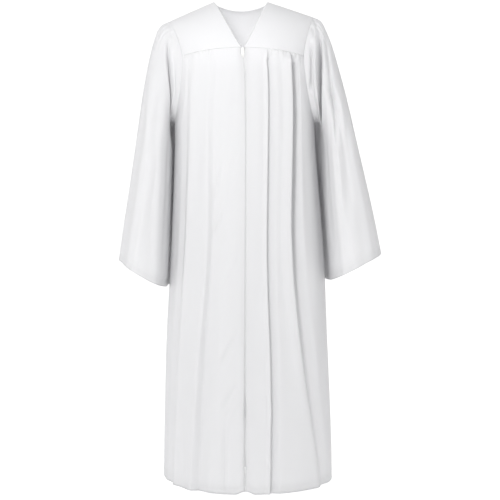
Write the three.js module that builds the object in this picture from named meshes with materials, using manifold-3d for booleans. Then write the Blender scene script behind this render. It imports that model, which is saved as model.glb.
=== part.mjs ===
// Choir robe, full length, worn on a general figure with no wearer in it.
// Millimetres, +Z up, front towards -Y, +X towards the wearer's left.
// The origin lies between the two high shoulder points, where the shoulders carry the robe.
// Each piece of cloth is a thin wall on both sides of a middle surface, and each middle surface
// is a grid of points: rows run across the robe, columns run down it.
import * as THREE from 'three';
import Module from 'manifold-3d';
import { mergeVertices } from 'three/addons/utils/BufferGeometryUtils.js';

const { clamp, lerp, smoothstep } = THREE.MathUtils;
const wasm = await Module();
wasm.setup();

// ---------------------------------------------------------------- driving dimensions

const CLOTH = 1.6;
const SEAM_GAP = 0.3;
const HEM_Z = -1306;
const QUARTER = Math.PI / 2;
const SECTION_POWER = 2.3;
const SECTION_FULLNESS = 1.03;

// Plan section of the hanging body: half widths to each side of the centre-front line, and depths.
const BODY = [
  { z: 0, centre: -14, minus: 180, plus: 180, front: 96, back: 102 },
  { z: -142, centre: -8.5, minus: 186, plus: 186, front: 110, back: 114 },
  { z: -330, centre: -5, minus: 189, plus: 191, front: 131, back: 127 },
  { z: -402, centre: -4, minus: 190, plus: 193, front: 137, back: 132 },
  { z: -676, centre: -3, minus: 201, plus: 214, front: 150, back: 150 },
  { z: -914, centre: -2.5, minus: 213.5, plus: 223.5, front: 163, back: 166 },
  { z: -1188, centre: -2, minus: 220.5, plus: 234, front: 182, back: 187 },
  { z: HEM_Z, centre: -1.5, minus: 222.5, plus: 235.5, front: 192, back: 198 },
];

const NECK = { half: 74.4, pointHalf: 1.5, curve: 0.8, backRise: 13, backCut: 0.36 };
const SHOULDER = { half: 196.6, dropMinus: 52, dropPlus: 41, armCurve: 1.3 };
const YOKE_SEAM = { centreZ: -140, armZ: -155, armHalf: 163 };
const UNDERARM_Z = -330;
const YOKE_ROWS = 6;
const ARM_ROWS = 9;
const SKIRT_ROWS = 8;
const SHOULDER_COLUMNS = 8;
const BACK_NECK_COLUMNS = 8;

// Height of the hem above its lowest level, at the side seams and beside the centre-front slit.
const HEM_LIFT = { minus: 29, plus: 16, power: 1.8, rise: 4, centre: 8, centreReach: 0.05 };

// The fronts part around the zip slider, meet down to the slit, and hang open below it.
const CENTRE_FRONT = { notch: 4.6, notchEnd: -163, meet: -180, slit: -1042, slitHalf: 1.7, slitEase: 0.8 };

// Folds of the two fronts and the back. A row gives the fold's place across the cloth, as a share
// of the way from the centre line to the side seam, at five levels; the raised lip on its -X side
// and the trough on its +X side, each with a height and a width; and half the width of the step.
const FOLD_LEVELS = { yoke: -150, chest: -330, waist: -676, knee: -1000, hem: HEM_Z };
const FRONT_FOLDS = [
  { name: 'outer tuck', yoke: -0.5, chest: -0.55, waist: -0.56, knee: -0.6, hem: -0.64,
    lip: -4, lipWidth: 30, trough: -3, troughWidth: 24, step: 4 },
  { name: 'soft fold', yoke: -0.235, chest: -0.285, waist: -0.275, knee: -0.328, hem: -0.37,
    lip: 3.5, lipWidth: 34, trough: 5, troughWidth: 40, step: 3.4 },
  { name: 'knife pleat', yoke: 0.195, chest: 0.184, waist: 0.143, knee: 0.156, hem: 0.142,
    lip: 2.6, lipWidth: 16, trough: 5.4, troughWidth: 34, step: 0.9 },
  { name: 'deep pleat', yoke: 0.453, chest: 0.44, waist: 0.369, knee: 0.48, hem: 0.67,
    lip: 7, lipWidth: 34, trough: 17, troughWidth: 46, step: 2.6 },
];
const FRONT_FILLING = { between: 3, beside: 3 };
const BACK_FOLDS = [
  { yoke: -0.72, chest: -0.72, waist: -0.73, knee: -0.75, hem: -0.77,
    lip: -6, lipWidth: 18, trough: -6, troughWidth: 18, step: 5 },
  { yoke: -0.55, chest: -0.56, waist: -0.58, knee: -0.57, hem: -0.58,
    lip: -8, lipWidth: 17, trough: -7, troughWidth: 17, step: 5 },
  { yoke: -0.4, chest: -0.41, waist: -0.4, knee: -0.42, hem: -0.41,
    lip: -7, lipWidth: 16, trough: -9, troughWidth: 16, step: 4 },
  { yoke: -0.255, chest: -0.25, waist: -0.262, knee: -0.255, hem: -0.25,
    lip: -9, lipWidth: 16, trough: -8, troughWidth: 16, step: 4 },
  { yoke: -0.11, chest: -0.105, waist: -0.1, knee: -0.095, hem: -0.1,
    lip: -8, lipWidth: 16, trough: -6, troughWidth: 14, step: 4 },
  { yoke: 0.09, chest: 0.095, waist: 0.1, knee: 0.09, hem: 0.1,
    lip: 6, lipWidth: 16, trough: 9, troughWidth: 16, step: 4 },
  { yoke: 0.245, chest: 0.25, waist: 0.24, knee: 0.255, hem: 0.26,
    lip: 9, lipWidth: 16, trough: 7, troughWidth: 16, step: 4 },
  { yoke: 0.39, chest: 0.4, waist: 0.405, knee: 0.4, hem: 0.42,
    lip: 7, lipWidth: 16, trough: 8, troughWidth: 16, step: 4 },
  { yoke: 0.545, chest: 0.55, waist: 0.56, knee: 0.57, hem: 0.58,
    lip: 8, lipWidth: 17, trough: 8, troughWidth: 17, step: 5 },
  { yoke: 0.71, chest: 0.715, waist: 0.72, knee: 0.74, hem: 0.76,
    lip: 5, lipWidth: 18, trough: 7, troughWidth: 18, step: 5 },
];
const BACK_FILLING = { between: 0, beside: 2 };
const MIDDLE_COLUMN_WIDTH = 20;
const FOLD_START = 26;
const FOLD_SIDE_FADE = 30;
const SEAM_CORNER = 1;
const ARMHOLE_COMPRESS = 0.55;

// Sleeves. A row gives the outer and the inner line of the tube and its depths to front and back.
const SLEEVE_MINUS = [
  { v: 0.03, outerX: -229, outerZ: -62, innerX: -204, innerZ: -326, front: 82, back: 82 },
  { v: 0.06, outerX: -241, outerZ: -78, innerX: -208, innerZ: -338, front: 84, back: 84 },
  { v: 0.14, outerX: -257.5, outerZ: -128, innerX: -209, innerZ: -364, front: 90, back: 92 },
  { v: 0.25, outerX: -272.5, outerZ: -202, innerX: -205, innerZ: -402, front: 98, back: 101 },
  { v: 0.4, outerX: -287.5, outerZ: -300, innerX: -205, innerZ: -466, front: 108, back: 112 },
  { v: 0.55, outerX: -300.5, outerZ: -398, innerX: -205, innerZ: -538, front: 118, back: 122 },
  { v: 0.7, outerX: -315, outerZ: -498, innerX: -206, innerZ: -615, front: 128, back: 132 },
  { v: 0.85, outerX: -330, outerZ: -596, innerX: -209, innerZ: -695, front: 138, back: 142 },
  { v: 1, outerX: -344, outerZ: -695, innerX: -214, innerZ: -773, front: 148, back: 152 },
];
const SLEEVE_PLUS = [
  { v: 0.03, outerX: 201, outerZ: -49, innerX: 197, innerZ: -325, front: 82, back: 82 },
  { v: 0.06, outerX: 213, outerZ: -66, innerX: 203, innerZ: -338, front: 84, back: 84 },
  { v: 0.14, outerX: 235, outerZ: -120, innerX: 208, innerZ: -366, front: 90, back: 92 },
  { v: 0.25, outerX: 256, outerZ: -195, innerX: 210, innerZ: -402, front: 98, back: 101 },
  { v: 0.4, outerX: 279, outerZ: -286, innerX: 211, innerZ: -462, front: 108, back: 112 },
  { v: 0.55, outerX: 301.5, outerZ: -385, innerX: 213, innerZ: -530, front: 118, back: 122 },
  { v: 0.7, outerX: 324.5, outerZ: -484, innerX: 217, innerZ: -602, front: 128, back: 132 },
  { v: 0.85, outerX: 346.5, outerZ: -583, innerX: 223, innerZ: -680, front: 138, back: 142 },
  { v: 1, outerX: 366.5, outerZ: -684, innerX: 229, innerZ: -757, front: 148, back: 152 },
];
const SLEEVE_RINGS = [0, 0.028, 0.05, 0.072, 0.092, 0.114, 0.14, 0.19, 0.28, 0.4, 0.55, 0.7, 0.85, 1];
const SLEEVE_SETTLE = 0.35;
const SLEEVE_HEAD_DEPTH = 80;
const BODY_CLEARANCE = { side: 6, back: 16, easeY: 55 };
// Behind the arm a sleeve's inner side tucks in towards the body, and its front sags a little.
const SLEEVE_TUCK = { depth: 36, start: 0.5, full: 0.6, ease: 0.66, end: 0.8, from: 0.08, settled: 0.25 };
const SLEEVE_SAG = { minus: 9, plus: 0 };

// Folds along a sleeve: place round the tube (0 outer line, 0.25 front, 0.5 inner line) at the
// fold's start and end, the stretch of the sleeve that it covers, its depth and half its width.
const SLEEVE_FOLDS_MINUS = [
  { start: 0.22, end: 0.3, from: 0.15, to: 1, depth: 5, half: 0.06 },
  { start: 0.14, end: 0.13, from: 0.3, to: 1, depth: 5, half: 0.05 },
  { start: 0.7, end: 0.68, from: 0.12, to: 1, depth: 8, half: 0.055 },
  { start: 0.84, end: 0.82, from: 0.2, to: 1, depth: 7, half: 0.055 },
];
const SLEEVE_FOLDS_PLUS = [
  { start: 0.2, end: 0.27, from: 0.1, to: 0.62, depth: 8, half: 0.045 },
  { start: 0.17, end: 0.22, from: 0.38, to: 1, depth: 6, half: 0.06 },
  { start: 0.7, end: 0.67, from: 0.12, to: 1, depth: 8, half: 0.055 },
  { start: 0.84, end: 0.83, from: 0.2, to: 1, depth: 7, half: 0.055 },
];
const FOLD_EASE = { in: 0.15, out: 0.2 };
// The sleeve head falls in front of the armhole in a trough that hangs straight down. A row gives
// a place round the tube, where along the sleeve the trough lies there and how deep it is.
const HEAD_TROUGH_HALF = 0.036;
const HEAD_TROUGH_MINUS = [
  { turn: 0.08, v: 0.02, depth: 0 },
  { turn: 0.135, v: 0.03, depth: 4 },
  { turn: 0.19, v: 0.07, depth: 8 },
  { turn: 0.33, v: 0.073, depth: 11 },
  { turn: 0.43, v: 0.08, depth: 9 },
  { turn: 0.49, v: 0.085, depth: 0 },
];
const HEAD_TROUGH_PLUS = [
  { turn: 0.07, v: 0.03, depth: 0 },
  { turn: 0.12, v: 0.055, depth: 10 },
  { turn: 0.2, v: 0.102, depth: 18 },
  { turn: 0.31, v: 0.115, depth: 20 },
  { turn: 0.42, v: 0.105, depth: 16 },
  { turn: 0.49, v: 0.09, depth: 0 },
];
// Gathers of the sleeve head, two columns to each.
const GATHERS = { reach: 4, columnsPerStep: 3, height: 2.2, unevenness: 0.35, wobble: 7.3,
  start: 0.03, end: 0.19 };

const ZIP = { end: -930, tapeHalfGap: 0.8, tapeWidth: 13, tape: 1, standOff: 0.4 };
const SLIDER = { width: 7, length: 11, depth: 3.2, topZ: -141.5, seat: 0.3 };
const LUG = { width: 2, radius: 1.7, stand: 0.2, root: 1 };
const PIN = { radius: 0.5, clearance: 0.3, inset: 0.2, z: -4 };
const TAB = { width: 5, length: 16, thick: 1.3, rim: 0.1, slotFloor: 2.4, tipRadius: 2 };

// ---------------------------------------------------------------- materials

function clothMaterial() {
  return new THREE.MeshStandardMaterial({ color: 0xf0f0f0, roughness: 0.85, metalness: 0 });
}

function tapeMaterial() {
  return new THREE.MeshStandardMaterial({ color: 0xf4f4f2, roughness: 0.75, metalness: 0 });
}

function sliderMaterial() {
  return new THREE.MeshStandardMaterial({ color: 0xf2f2f0, roughness: 0.35, metalness: 0.1 });
}

// ---------------------------------------------------------------- tables

// Value of one column of a table at a place along its key, on a smooth curve through its rows.
function tableValue(rows, key, place, column) {
  const last = rows.length - 1;
  const direction = Math.sign(rows[last][key] - rows[0][key]);
  let index = 0;
  while (index < last - 1 && (place - rows[index + 1][key]) * direction > 0) index += 1;
  const lower = rows[index];
  const upper = rows[index + 1];
  const before = rows[Math.max(index - 1, 0)];
  const after = rows[Math.min(index + 2, last)];
  const span = upper[key] - lower[key];
  const share = clamp((place - lower[key]) / span, 0, 1);
  const slopeIn = span * (upper[column] - before[column]) / (upper[key] - before[key]);
  const slopeOut = span * (after[column] - lower[column]) / (after[key] - lower[key]);
  const square = share * share;
  const cube = square * share;
  return (2 * cube - 3 * square + 1) * lower[column] + (cube - 2 * square + share) * slopeIn
    + (3 * square - 2 * cube) * upper[column] + (cube - square) * slopeOut;
}

function bodyValue(z, column) {
  return tableValue(BODY, 'z', z, column);
}

function sideHalf(side, z) {
  return bodyValue(z, side < 0 ? 'minus' : 'plus');
}

// ---------------------------------------------------------------- hanging body

// Depth of the body section at a distance from the centre line. Face -1 is the front, 1 the back.
function sectionDepth(face, side, across, z) {
  const reach = clamp(across / sideHalf(side, z), 0, 1);
  const depth = bodyValue(z, face < 0 ? 'front' : 'back');
  return face * depth * (1 - reach ** SECTION_POWER) ** (1 / SECTION_POWER);
}

// Half width of the body section at a depth.
function sectionHalf(side, y, z) {
  const depth = bodyValue(z, y < 0 ? 'front' : 'back');
  const reach = clamp(Math.abs(y) / depth, 0, 1);
  return sideHalf(side, z) * (1 - reach ** SECTION_POWER) ** (1 / SECTION_POWER);
}

// Direction out of the body section, level.
function sectionOut(face, side, across, y, z) {
  const half = sideHalf(side, z);
  const depth = bodyValue(z, face < 0 ? 'front' : 'back');
  const outX = side * (clamp(across / half, 0, 1) ** (SECTION_POWER - 1)) / half;
  const outY = face * (clamp(Math.abs(y) / depth, 0, 1) ** (SECTION_POWER - 1)) / depth;
  return new THREE.Vector3(outX, outY, 0).normalize();
}

// Length of the section from the centre line to the side, nearly.
function sectionArc(face, side, z) {
  const half = sideHalf(side, z);
  const depth = bodyValue(z, face < 0 ? 'front' : 'back');
  return SECTION_FULLNESS * QUARTER * Math.hypot(half, depth) / Math.SQRT2;
}

function foldLine(fold, z) {
  const levels = Object.entries(FOLD_LEVELS).map(([name, level]) => ({ level, at: fold[name] }));
  return tableValue(levels, 'level', z, 'at');
}

// Height of one fold at a signed distance from its line: a lip, a step down and a trough.
function foldHeight(fold, distance) {
  if (distance < -fold.step) {
    return fold.lip * smoothstep(distance, -fold.lipWidth - fold.step, -fold.step);
  }
  if (distance > fold.step) {
    return -fold.trough * (1 - smoothstep(distance, fold.step, fold.step + fold.troughWidth));
  }
  return lerp(fold.lip, -fold.trough, smoothstep(distance, -fold.step, fold.step));
}

// Height of all folds of a panel at a place of the cloth, faded at the yoke and the side seams.
function panelRelief(folds, face, place, z, below) {
  const side = place < 0 ? -1 : 1;
  const arc = sectionArc(face, side, z);
  let height = 0;
  for (const fold of folds) height += foldHeight(fold, (place - foldLine(fold, z)) * arc);
  const top = smoothstep(below, 0, FOLD_START);
  const edge = smoothstep((1 - Math.abs(place)) * arc, 0, FOLD_SIDE_FADE);
  return height * top * edge;
}

// Columns of a panel at a level: its two edges, four to six at each fold, and a filling of evenly
// spaced ones between the folds and beside the outermost.
function panelColumns(folds, filling, face, z, from, to) {
  const groups = [[from]];
  for (const fold of folds) {
    const line = foldLine(fold, z);
    const arc = sectionArc(face, line < 0 ? -1 : 1, z);
    const offsets = [-fold.lipWidth - fold.step, -fold.step, fold.step, fold.step + fold.troughWidth];
    if (fold.lipWidth > MIDDLE_COLUMN_WIDTH) offsets.splice(1, 0, -fold.step - fold.lipWidth / 2);
    if (fold.troughWidth > MIDDLE_COLUMN_WIDTH) offsets.splice(-1, 0, fold.step + fold.troughWidth / 2);
    if (line > from && line < to) groups.push(offsets.map((offset) => line + offset / arc));
  }
  groups.push([to]);
  const columns = [from];
  for (let group = 1; group < groups.length; group += 1) {
    const outermost = group === 1 || group === groups.length - 1;
    const count = outermost ? filling.beside : filling.between;
    const start = columns[columns.length - 1];
    const end = groups[group][0];
    for (let extra = 1; extra <= count; extra += 1) columns.push(lerp(start, end, extra / (count + 1)));
    columns.push(...groups[group]);
  }
  return columns;
}

// Half of the gap between the two fronts at a height.
function centreGap(z) {
  const notch = CENTRE_FRONT.notch * smoothstep(z, CENTRE_FRONT.meet, CENTRE_FRONT.notchEnd);
  const down = clamp((CENTRE_FRONT.slit - z) / (CENTRE_FRONT.slit - HEM_Z), 0, CENTRE_FRONT.slitEase);
  return notch + CENTRE_FRONT.slitHalf * Math.sin(Math.PI * down);
}

// Armhole point of the body at a step below the yoke seam, as its height and its section place.
function armholeStep(face, side, step) {
  const turn = Math.min(step / ARM_ROWS, 1) * QUARTER;
  const z = YOKE_SEAM.armZ + (UNDERARM_Z - YOKE_SEAM.armZ) * Math.sin(turn);
  const seamReach = YOKE_SEAM.armHalf / sideHalf(side, YOKE_SEAM.armZ);
  const seamPlace = Math.asin(seamReach ** (SECTION_POWER / 2)) / QUARTER;
  const place = lerp(seamPlace, 1, 1 - Math.cos(turn));
  return { z, place };
}

// A place of the cloth drawn in so that the cloth ends at the armhole.
function drawnIn(place, edge) {
  const across = Math.abs(place);
  if (across <= ARMHOLE_COMPRESS) return across;
  return ARMHOLE_COMPRESS + (across - ARMHOLE_COMPRESS) * (edge - ARMHOLE_COMPRESS) / (1 - ARMHOLE_COMPRESS);
}

function hemLift(face, place) {
  const side = place < 0 ? HEM_LIFT.minus : HEM_LIFT.plus;
  const centre = HEM_LIFT.centre * (1 - smoothstep(Math.abs(place), 0, HEM_LIFT.centreReach));
  return side * Math.abs(place) ** HEM_LIFT.power + (face < 0 ? centre : 0);
}

// Point of a hanging panel. The step counts rows from the yoke seam; place is -1 to 1.
function panelPoint(folds, face, side, place, step) {
  const edge = armholeStep(face, side, step);
  const armShare = Math.min(step / ARM_ROWS, 1);
  const skirtShare = Math.max(step - ARM_ROWS, 0) / SKIRT_ROWS;
  const edgeAcross = sideHalf(side, edge.z) * Math.sin(edge.place * QUARTER) ** (2 / SECTION_POWER);
  const turn = Math.sin(drawnIn(place, edge.place) * QUARTER) / Math.sin(edge.place * QUARTER);
  const skirtZ = lerp(UNDERARM_Z, HEM_Z, skirtShare);
  const levelHalf = skirtShare > 0 ? sideHalf(side, skirtZ) : edgeAcross;
  const gap = face < 0 ? centreGap(lerp(YOKE_SEAM.centreZ, skirtZ, skirtShare > 0 ? 1 : armShare)) : 0;
  const across = lerp(gap, levelHalf, turn ** (2 / SECTION_POWER));
  const centreZ = lerp(YOKE_SEAM.centreZ, UNDERARM_Z, armShare);
  const armZ = lerp(centreZ, edge.z, (across / levelHalf) ** 2);
  const lift = hemLift(face, place) * skirtShare ** HEM_LIFT.rise;
  const z = skirtShare > 0 ? skirtZ + lift : armZ;
  const y = sectionDepth(face, side, across, z);
  const height = panelRelief(folds, face, place, z, yokeSeamZ(across) - z);
  const point = new THREE.Vector3(bodyValue(z, 'centre') + side * across, y, z);
  return point.addScaledVector(sectionOut(face, side, across, y, z), height);
}

// Height of a row at the centre line.
function rowHeight(step) {
  if (step < ARM_ROWS) return lerp(YOKE_SEAM.centreZ, UNDERARM_Z, step / ARM_ROWS);
  return lerp(UNDERARM_Z, HEM_Z, (step - ARM_ROWS) / SKIRT_ROWS);
}

function frontGrid(side) {
  const rows = [];
  for (let step = 0; step <= ARM_ROWS + SKIRT_ROWS; step += 1) {
    const z = rowHeight(step);
    const columns = panelColumns(FRONT_FOLDS, FRONT_FILLING, -1, z, Math.min(side, 0), Math.max(side, 0));
    rows.push(columns.map((place) => panelPoint(FRONT_FOLDS, -1, side, place, step)));
  }
  return rows;
}

function backGrid() {
  const rows = [];
  for (let step = 0; step <= ARM_ROWS + SKIRT_ROWS; step += 1) {
    const z = rowHeight(step);
    const columns = panelColumns(BACK_FOLDS, BACK_FILLING, 1, z, -1, 1);
    rows.push(columns.map((place) => panelPoint(BACK_FOLDS, 1, place < 0 ? -1 : 1, place, step)));
  }
  return rows;
}

// ---------------------------------------------------------------- yoke

function yokeSeamZ(across) {
  const share = across / YOKE_SEAM.armHalf;
  return YOKE_SEAM.centreZ + (YOKE_SEAM.armZ - YOKE_SEAM.centreZ) * share * share;
}

// Height of the shoulder line, and of its smooth run on across the neck.
function shoulderZ(side, across) {
  const drop = side < 0 ? SHOULDER.dropMinus : SHOULDER.dropPlus;
  if (across >= NECK.half) return -drop * (across - NECK.half) / (SHOULDER.half - NECK.half);
  return NECK.backRise * (1 - (across / NECK.half) ** 2);
}

// Point of the yoke: rise 0 at the yoke seam and 1 on the shoulder line, across from the centre.
function yokePoint(face, side, across, rise) {
  const up = Math.sin(rise * QUARTER);
  const armAcross = yokeArmhole(up);
  const seamAcross = across * YOKE_SEAM.armHalf / armAcross;
  const seamZ = yokeSeamZ(seamAcross);
  const z = seamZ + (shoulderZ(side, across) - seamZ) * up;
  const y = sectionDepth(face, side, seamAcross, seamZ) * Math.cos(rise * QUARTER);
  return new THREE.Vector3(bodyValue(z, 'centre') + side * across, y, z);
}

function yokeArmhole(up) {
  return YOKE_SEAM.armHalf + (SHOULDER.half - YOKE_SEAM.armHalf) * up ** SHOULDER.armCurve;
}

function yokeFrontGrid(side) {
  const rows = [];
  for (let row = 0; row <= YOKE_ROWS; row += 1) {
    const rise = 1 - row / YOKE_ROWS;
    const up = Math.sin(rise * QUARTER);
    const neck = lerp(NECK.pointHalf, NECK.half, up ** NECK.curve);
    const points = [];
    for (let column = 0; column <= SHOULDER_COLUMNS; column += 1) {
      const across = lerp(neck, yokeArmhole(up), column / SHOULDER_COLUMNS);
      points.push(yokePoint(-1, side, across, rise));
    }
    rows.push(side < 0 ? points.reverse() : points);
  }
  return rows;
}

// Rise of the back neckline at a distance from the centre line.
function backNeckRise(across) {
  return 1 - NECK.backCut * Math.sqrt(1 - Math.min(across / NECK.half, 1) ** 2);
}

function yokeBackGrid() {
  const rows = [];
  const half = BACK_NECK_COLUMNS / 2 + SHOULDER_COLUMNS;
  for (let row = 0; row <= YOKE_ROWS; row += 1) {
    const points = [];
    for (let column = -half; column <= half; column += 1) {
      const side = column < 0 ? -1 : 1;
      const count = Math.abs(column);
      const shoulderShare = Math.max(count - BACK_NECK_COLUMNS / 2, 0) / SHOULDER_COLUMNS;
      const neckShare = Math.min(count / (BACK_NECK_COLUMNS / 2), 1);
      const top = backNeckRise(neckShare * NECK.half);
      const rise = lerp(top, 0, row / YOKE_ROWS);
      const armAcross = yokeArmhole(Math.sin(rise * QUARTER));
      const neck = neckShare * NECK.half * armAcross / SHOULDER.half;
      points.push(yokePoint(1, side, lerp(neck, armAcross, shoulderShare), rise));
    }
    rows.push(points);
  }
  return rows;
}

// ---------------------------------------------------------------- sleeves

// Point of the armhole seam. Steps run from the shoulder tip: down the front above zero, and
// down the back below zero, to the underarm at both ends.
function armholePoint(side, step) {
  const face = step >= 0 ? -1 : 1;
  const count = Math.abs(step);
  if (count <= YOKE_ROWS) {
    const rise = 1 - count / YOKE_ROWS;
    return yokePoint(face, side, yokeArmhole(Math.sin(rise * QUARTER)), rise);
  }
  return panelPoint([], face, side, side, count - YOKE_ROWS);
}

// The seam between its whole steps is straight, as the edges of the yoke and the panels are.
function armholeAlong(side, step) {
  const lower = Math.floor(step + 1e-9);
  const share = step - lower;
  const start = armholePoint(side, lower);
  if (share < 1e-6) return start;
  return start.lerp(armholePoint(side, lower + 1), share);
}

function armholeSteps() {
  const end = YOKE_ROWS + ARM_ROWS;
  const steps = [];
  for (let count = -end * 2; count < -GATHERS.reach * 2; count += 1) steps.push(count / 2);
  const columns = GATHERS.reach * GATHERS.columnsPerStep;
  for (let count = -columns; count <= columns; count += 1) steps.push(count / GATHERS.columnsPerStep);
  for (let count = GATHERS.reach * 2 + 1; count < end * 2; count += 1) steps.push(count / 2);
  return steps;
}

function sleeveTable(side) {
  const top = armholePoint(side, 0);
  const under = armholePoint(side, YOKE_ROWS + ARM_ROWS);
  const start = { v: 0, outerX: top.x, outerZ: top.z, innerX: under.x, innerZ: under.z,
    front: SLEEVE_HEAD_DEPTH, back: SLEEVE_HEAD_DEPTH };
  return [start, ...(side < 0 ? SLEEVE_MINUS : SLEEVE_PLUS)];
}

// Point of a plain oval ring of the sleeve. Turn 0 is the outer line and 0.25 is the front.
function ovalPoint(table, v, turn) {
  const at = (column) => tableValue(table, 'v', v, column);
  const outer = new THREE.Vector3(at('outerX'), 0, at('outerZ'));
  const inner = new THREE.Vector3(at('innerX'), 0, at('innerZ'));
  const depth = at(turn < 0.5 ? 'front' : 'back');
  const point = inner.lerp(outer, (1 + Math.cos(turn * 2 * Math.PI)) / 2);
  point.y = -depth * Math.sin(turn * 2 * Math.PI);
  return point;
}

// Depth of the sleeve's folds, its head trough and its gathers at a place.
function sleeveRelief(side, step, turn, v) {
  let height = 0;
  for (const fold of side < 0 ? SLEEVE_FOLDS_MINUS : SLEEVE_FOLDS_PLUS) {
    const line = lerp(fold.start, fold.end, v);
    const across = 1 - smoothstep(Math.abs(turn - line), 0, fold.half);
    const along = smoothstep(v, fold.from, fold.from + FOLD_EASE.in)
      * (1 - smoothstep(v, fold.to, fold.to + FOLD_EASE.out));
    height -= fold.depth * across * along;
  }
  const trough = side < 0 ? HEAD_TROUGH_MINUS : HEAD_TROUGH_PLUS;
  const troughV = tableValue(trough, 'turn', turn, 'v');
  const ring = 1 - smoothstep(Math.abs(v - troughV), 0, HEAD_TROUGH_HALF);
  height -= tableValue(trough, 'turn', turn, 'depth') * ring;
  const gather = Math.cos(step * GATHERS.columnsPerStep * Math.PI);
  const uneven = 1 + GATHERS.unevenness * Math.sin(step * GATHERS.wobble);
  const reach = 1 - smoothstep(Math.abs(step), GATHERS.reach - 1, GATHERS.reach);
  const fall = smoothstep(v, 0, GATHERS.start) * (1 - smoothstep(v, GATHERS.start, GATHERS.end));
  return height + GATHERS.height * gather * uneven * reach * fall;
}

function sleevePoint(side, table, step, v) {
  const seam = armholeAlong(side, step);
  const middle = (table[0].outerZ + table[0].innerZ) / 2;
  const half = (table[0].outerZ - table[0].innerZ) / 2;
  const angle = Math.acos(clamp((seam.z - middle) / half, -1, 1)) / (2 * Math.PI);
  const turn = step >= 0 ? angle : 1 - angle;
  const settle = 1 - smoothstep(v, 0, SLEEVE_SETTLE);
  const point = ovalPoint(table, v, turn).addScaledVector(seam.sub(ovalPoint(table, 0, turn)), settle);
  const middleX = (tableValue(table, 'v', v, 'outerX') + tableValue(table, 'v', v, 'innerX')) / 2;
  const inward = new THREE.Vector3(point.x - middleX, point.y, 0).normalize();
  point.addScaledVector(inward, sleeveRelief(side, step, turn, v));
  const tuck = smoothstep(turn, SLEEVE_TUCK.start, SLEEVE_TUCK.full)
    * (1 - smoothstep(turn, SLEEVE_TUCK.ease, SLEEVE_TUCK.end))
    * smoothstep(v, SLEEVE_TUCK.from, SLEEVE_TUCK.settled);
  point.x -= side * SLEEVE_TUCK.depth * tuck;
  const sag = side < 0 ? SLEEVE_SAG.minus : SLEEVE_SAG.plus;
  point.z -= sag * v * Math.max(Math.sin(turn * 2 * Math.PI), 0);
  if (point.z < UNDERARM_Z) {
    const centre = bodyValue(point.z, 'centre');
    const clearance = lerp(BODY_CLEARANCE.side, BODY_CLEARANCE.back,
      smoothstep(point.y, 0, BODY_CLEARANCE.easeY));
    const nearest = sectionHalf(side, point.y, point.z) + clearance;
    const across = Math.max(side * (point.x - centre), nearest);
    point.x = centre + side * across;
  }
  return point;
}

function sleeveGrid(side) {
  const table = sleeveTable(side);
  const steps = armholeSteps();
  return SLEEVE_RINGS.map((v) => steps.map((step) => sleevePoint(side, table, step, v)));
}

// ---------------------------------------------------------------- walls

// Adds each vertex's share of its faces' normals to a tally kept by place, so that pieces which
// meet at a seam turn their edges the same way there.
function tallyNormals(tally, grid, closed, outward) {
  const rows = grid.length;
  const columns = grid[0].length;
  const across = new THREE.Vector3();
  const down = new THREE.Vector3();
  for (let row = 0; row < rows - 1; row += 1) {
    for (let column = 0; column < (closed ? columns : columns - 1); column += 1) {
      const next = (column + 1) % columns;
      const corners = [grid[row][column], grid[row][next], grid[row + 1][next], grid[row + 1][column]];
      across.subVectors(corners[2], corners[0]);
      down.subVectors(corners[3], corners[1]);
      const normal = new THREE.Vector3().crossVectors(across, down).multiplyScalar(outward).normalize();
      for (const corner of corners) {
        const key = placeKey(corner);
        if (!tally.has(key)) tally.set(key, new THREE.Vector3());
        tally.get(key).add(normal);
      }
    }
  }
}

// Between the whole steps of the armhole seam a sleeve's edge turns as the straight seam does.
function alignSeamNormals(tally, ring) {
  const steps = armholeSteps();
  const whole = steps.map((step, column) => ({ step, column }))
    .filter((entry) => Math.abs(entry.step - Math.round(entry.step)) < 1e-6);
  const normalAt = (column) => tally.get(placeKey(ring[column])).clone().normalize();
  steps.forEach((step, column) => {
    const after = whole.findIndex((entry) => entry.step > step + 1e-6);
    const lower = after < 0 ? whole[whole.length - 1] : whole[after - 1];
    const upper = after < 0 ? { step: lower.step + 1, column: whole[0].column } : whole[after];
    const share = step - lower.step;
    if (share > 1e-6) {
      const normal = normalAt(lower.column).lerp(normalAt(upper.column), share);
      tally.set(placeKey(ring[column]), normal);
    }
  });
}

// Along the yoke seam the cloth on both sides of it faces level, except at the armhole.
function levelSeamNormals(tally, row, face) {
  for (const point of row) {
    const side = point.x < bodyValue(point.z, 'centre') ? -1 : 1;
    const across = side * (point.x - bodyValue(point.z, 'centre'));
    if (across < YOKE_SEAM.armHalf - SEAM_CORNER) {
      tally.set(placeKey(point), sectionOut(face, side, across, point.y, point.z));
    }
  }
}

function placeKey(point) {
  return [point.x, point.y, point.z].map((value) => Math.round(value * 100)).join(',');
}

// The grid's points, with its free and sewn edges drawn back by half a seam gap.
function drawnBack(grid, closed) {
  const last = grid.length - 1;
  const end = grid[0].length - 1;
  return grid.map((points, row) => points.map((point, column) => {
    const moved = point.clone();
    const towards = (other) => {
      moved.addScaledVector(other.clone().sub(point).normalize(), SEAM_GAP / 2);
    };
    if (row === 0) towards(grid[1][column]);
    if (row === last) towards(grid[last - 1][column]);
    if (!closed && column === 0) towards(points[1]);
    if (!closed && column === end) towards(points[end - 1]);
    return moved;
  }));
}

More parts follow.
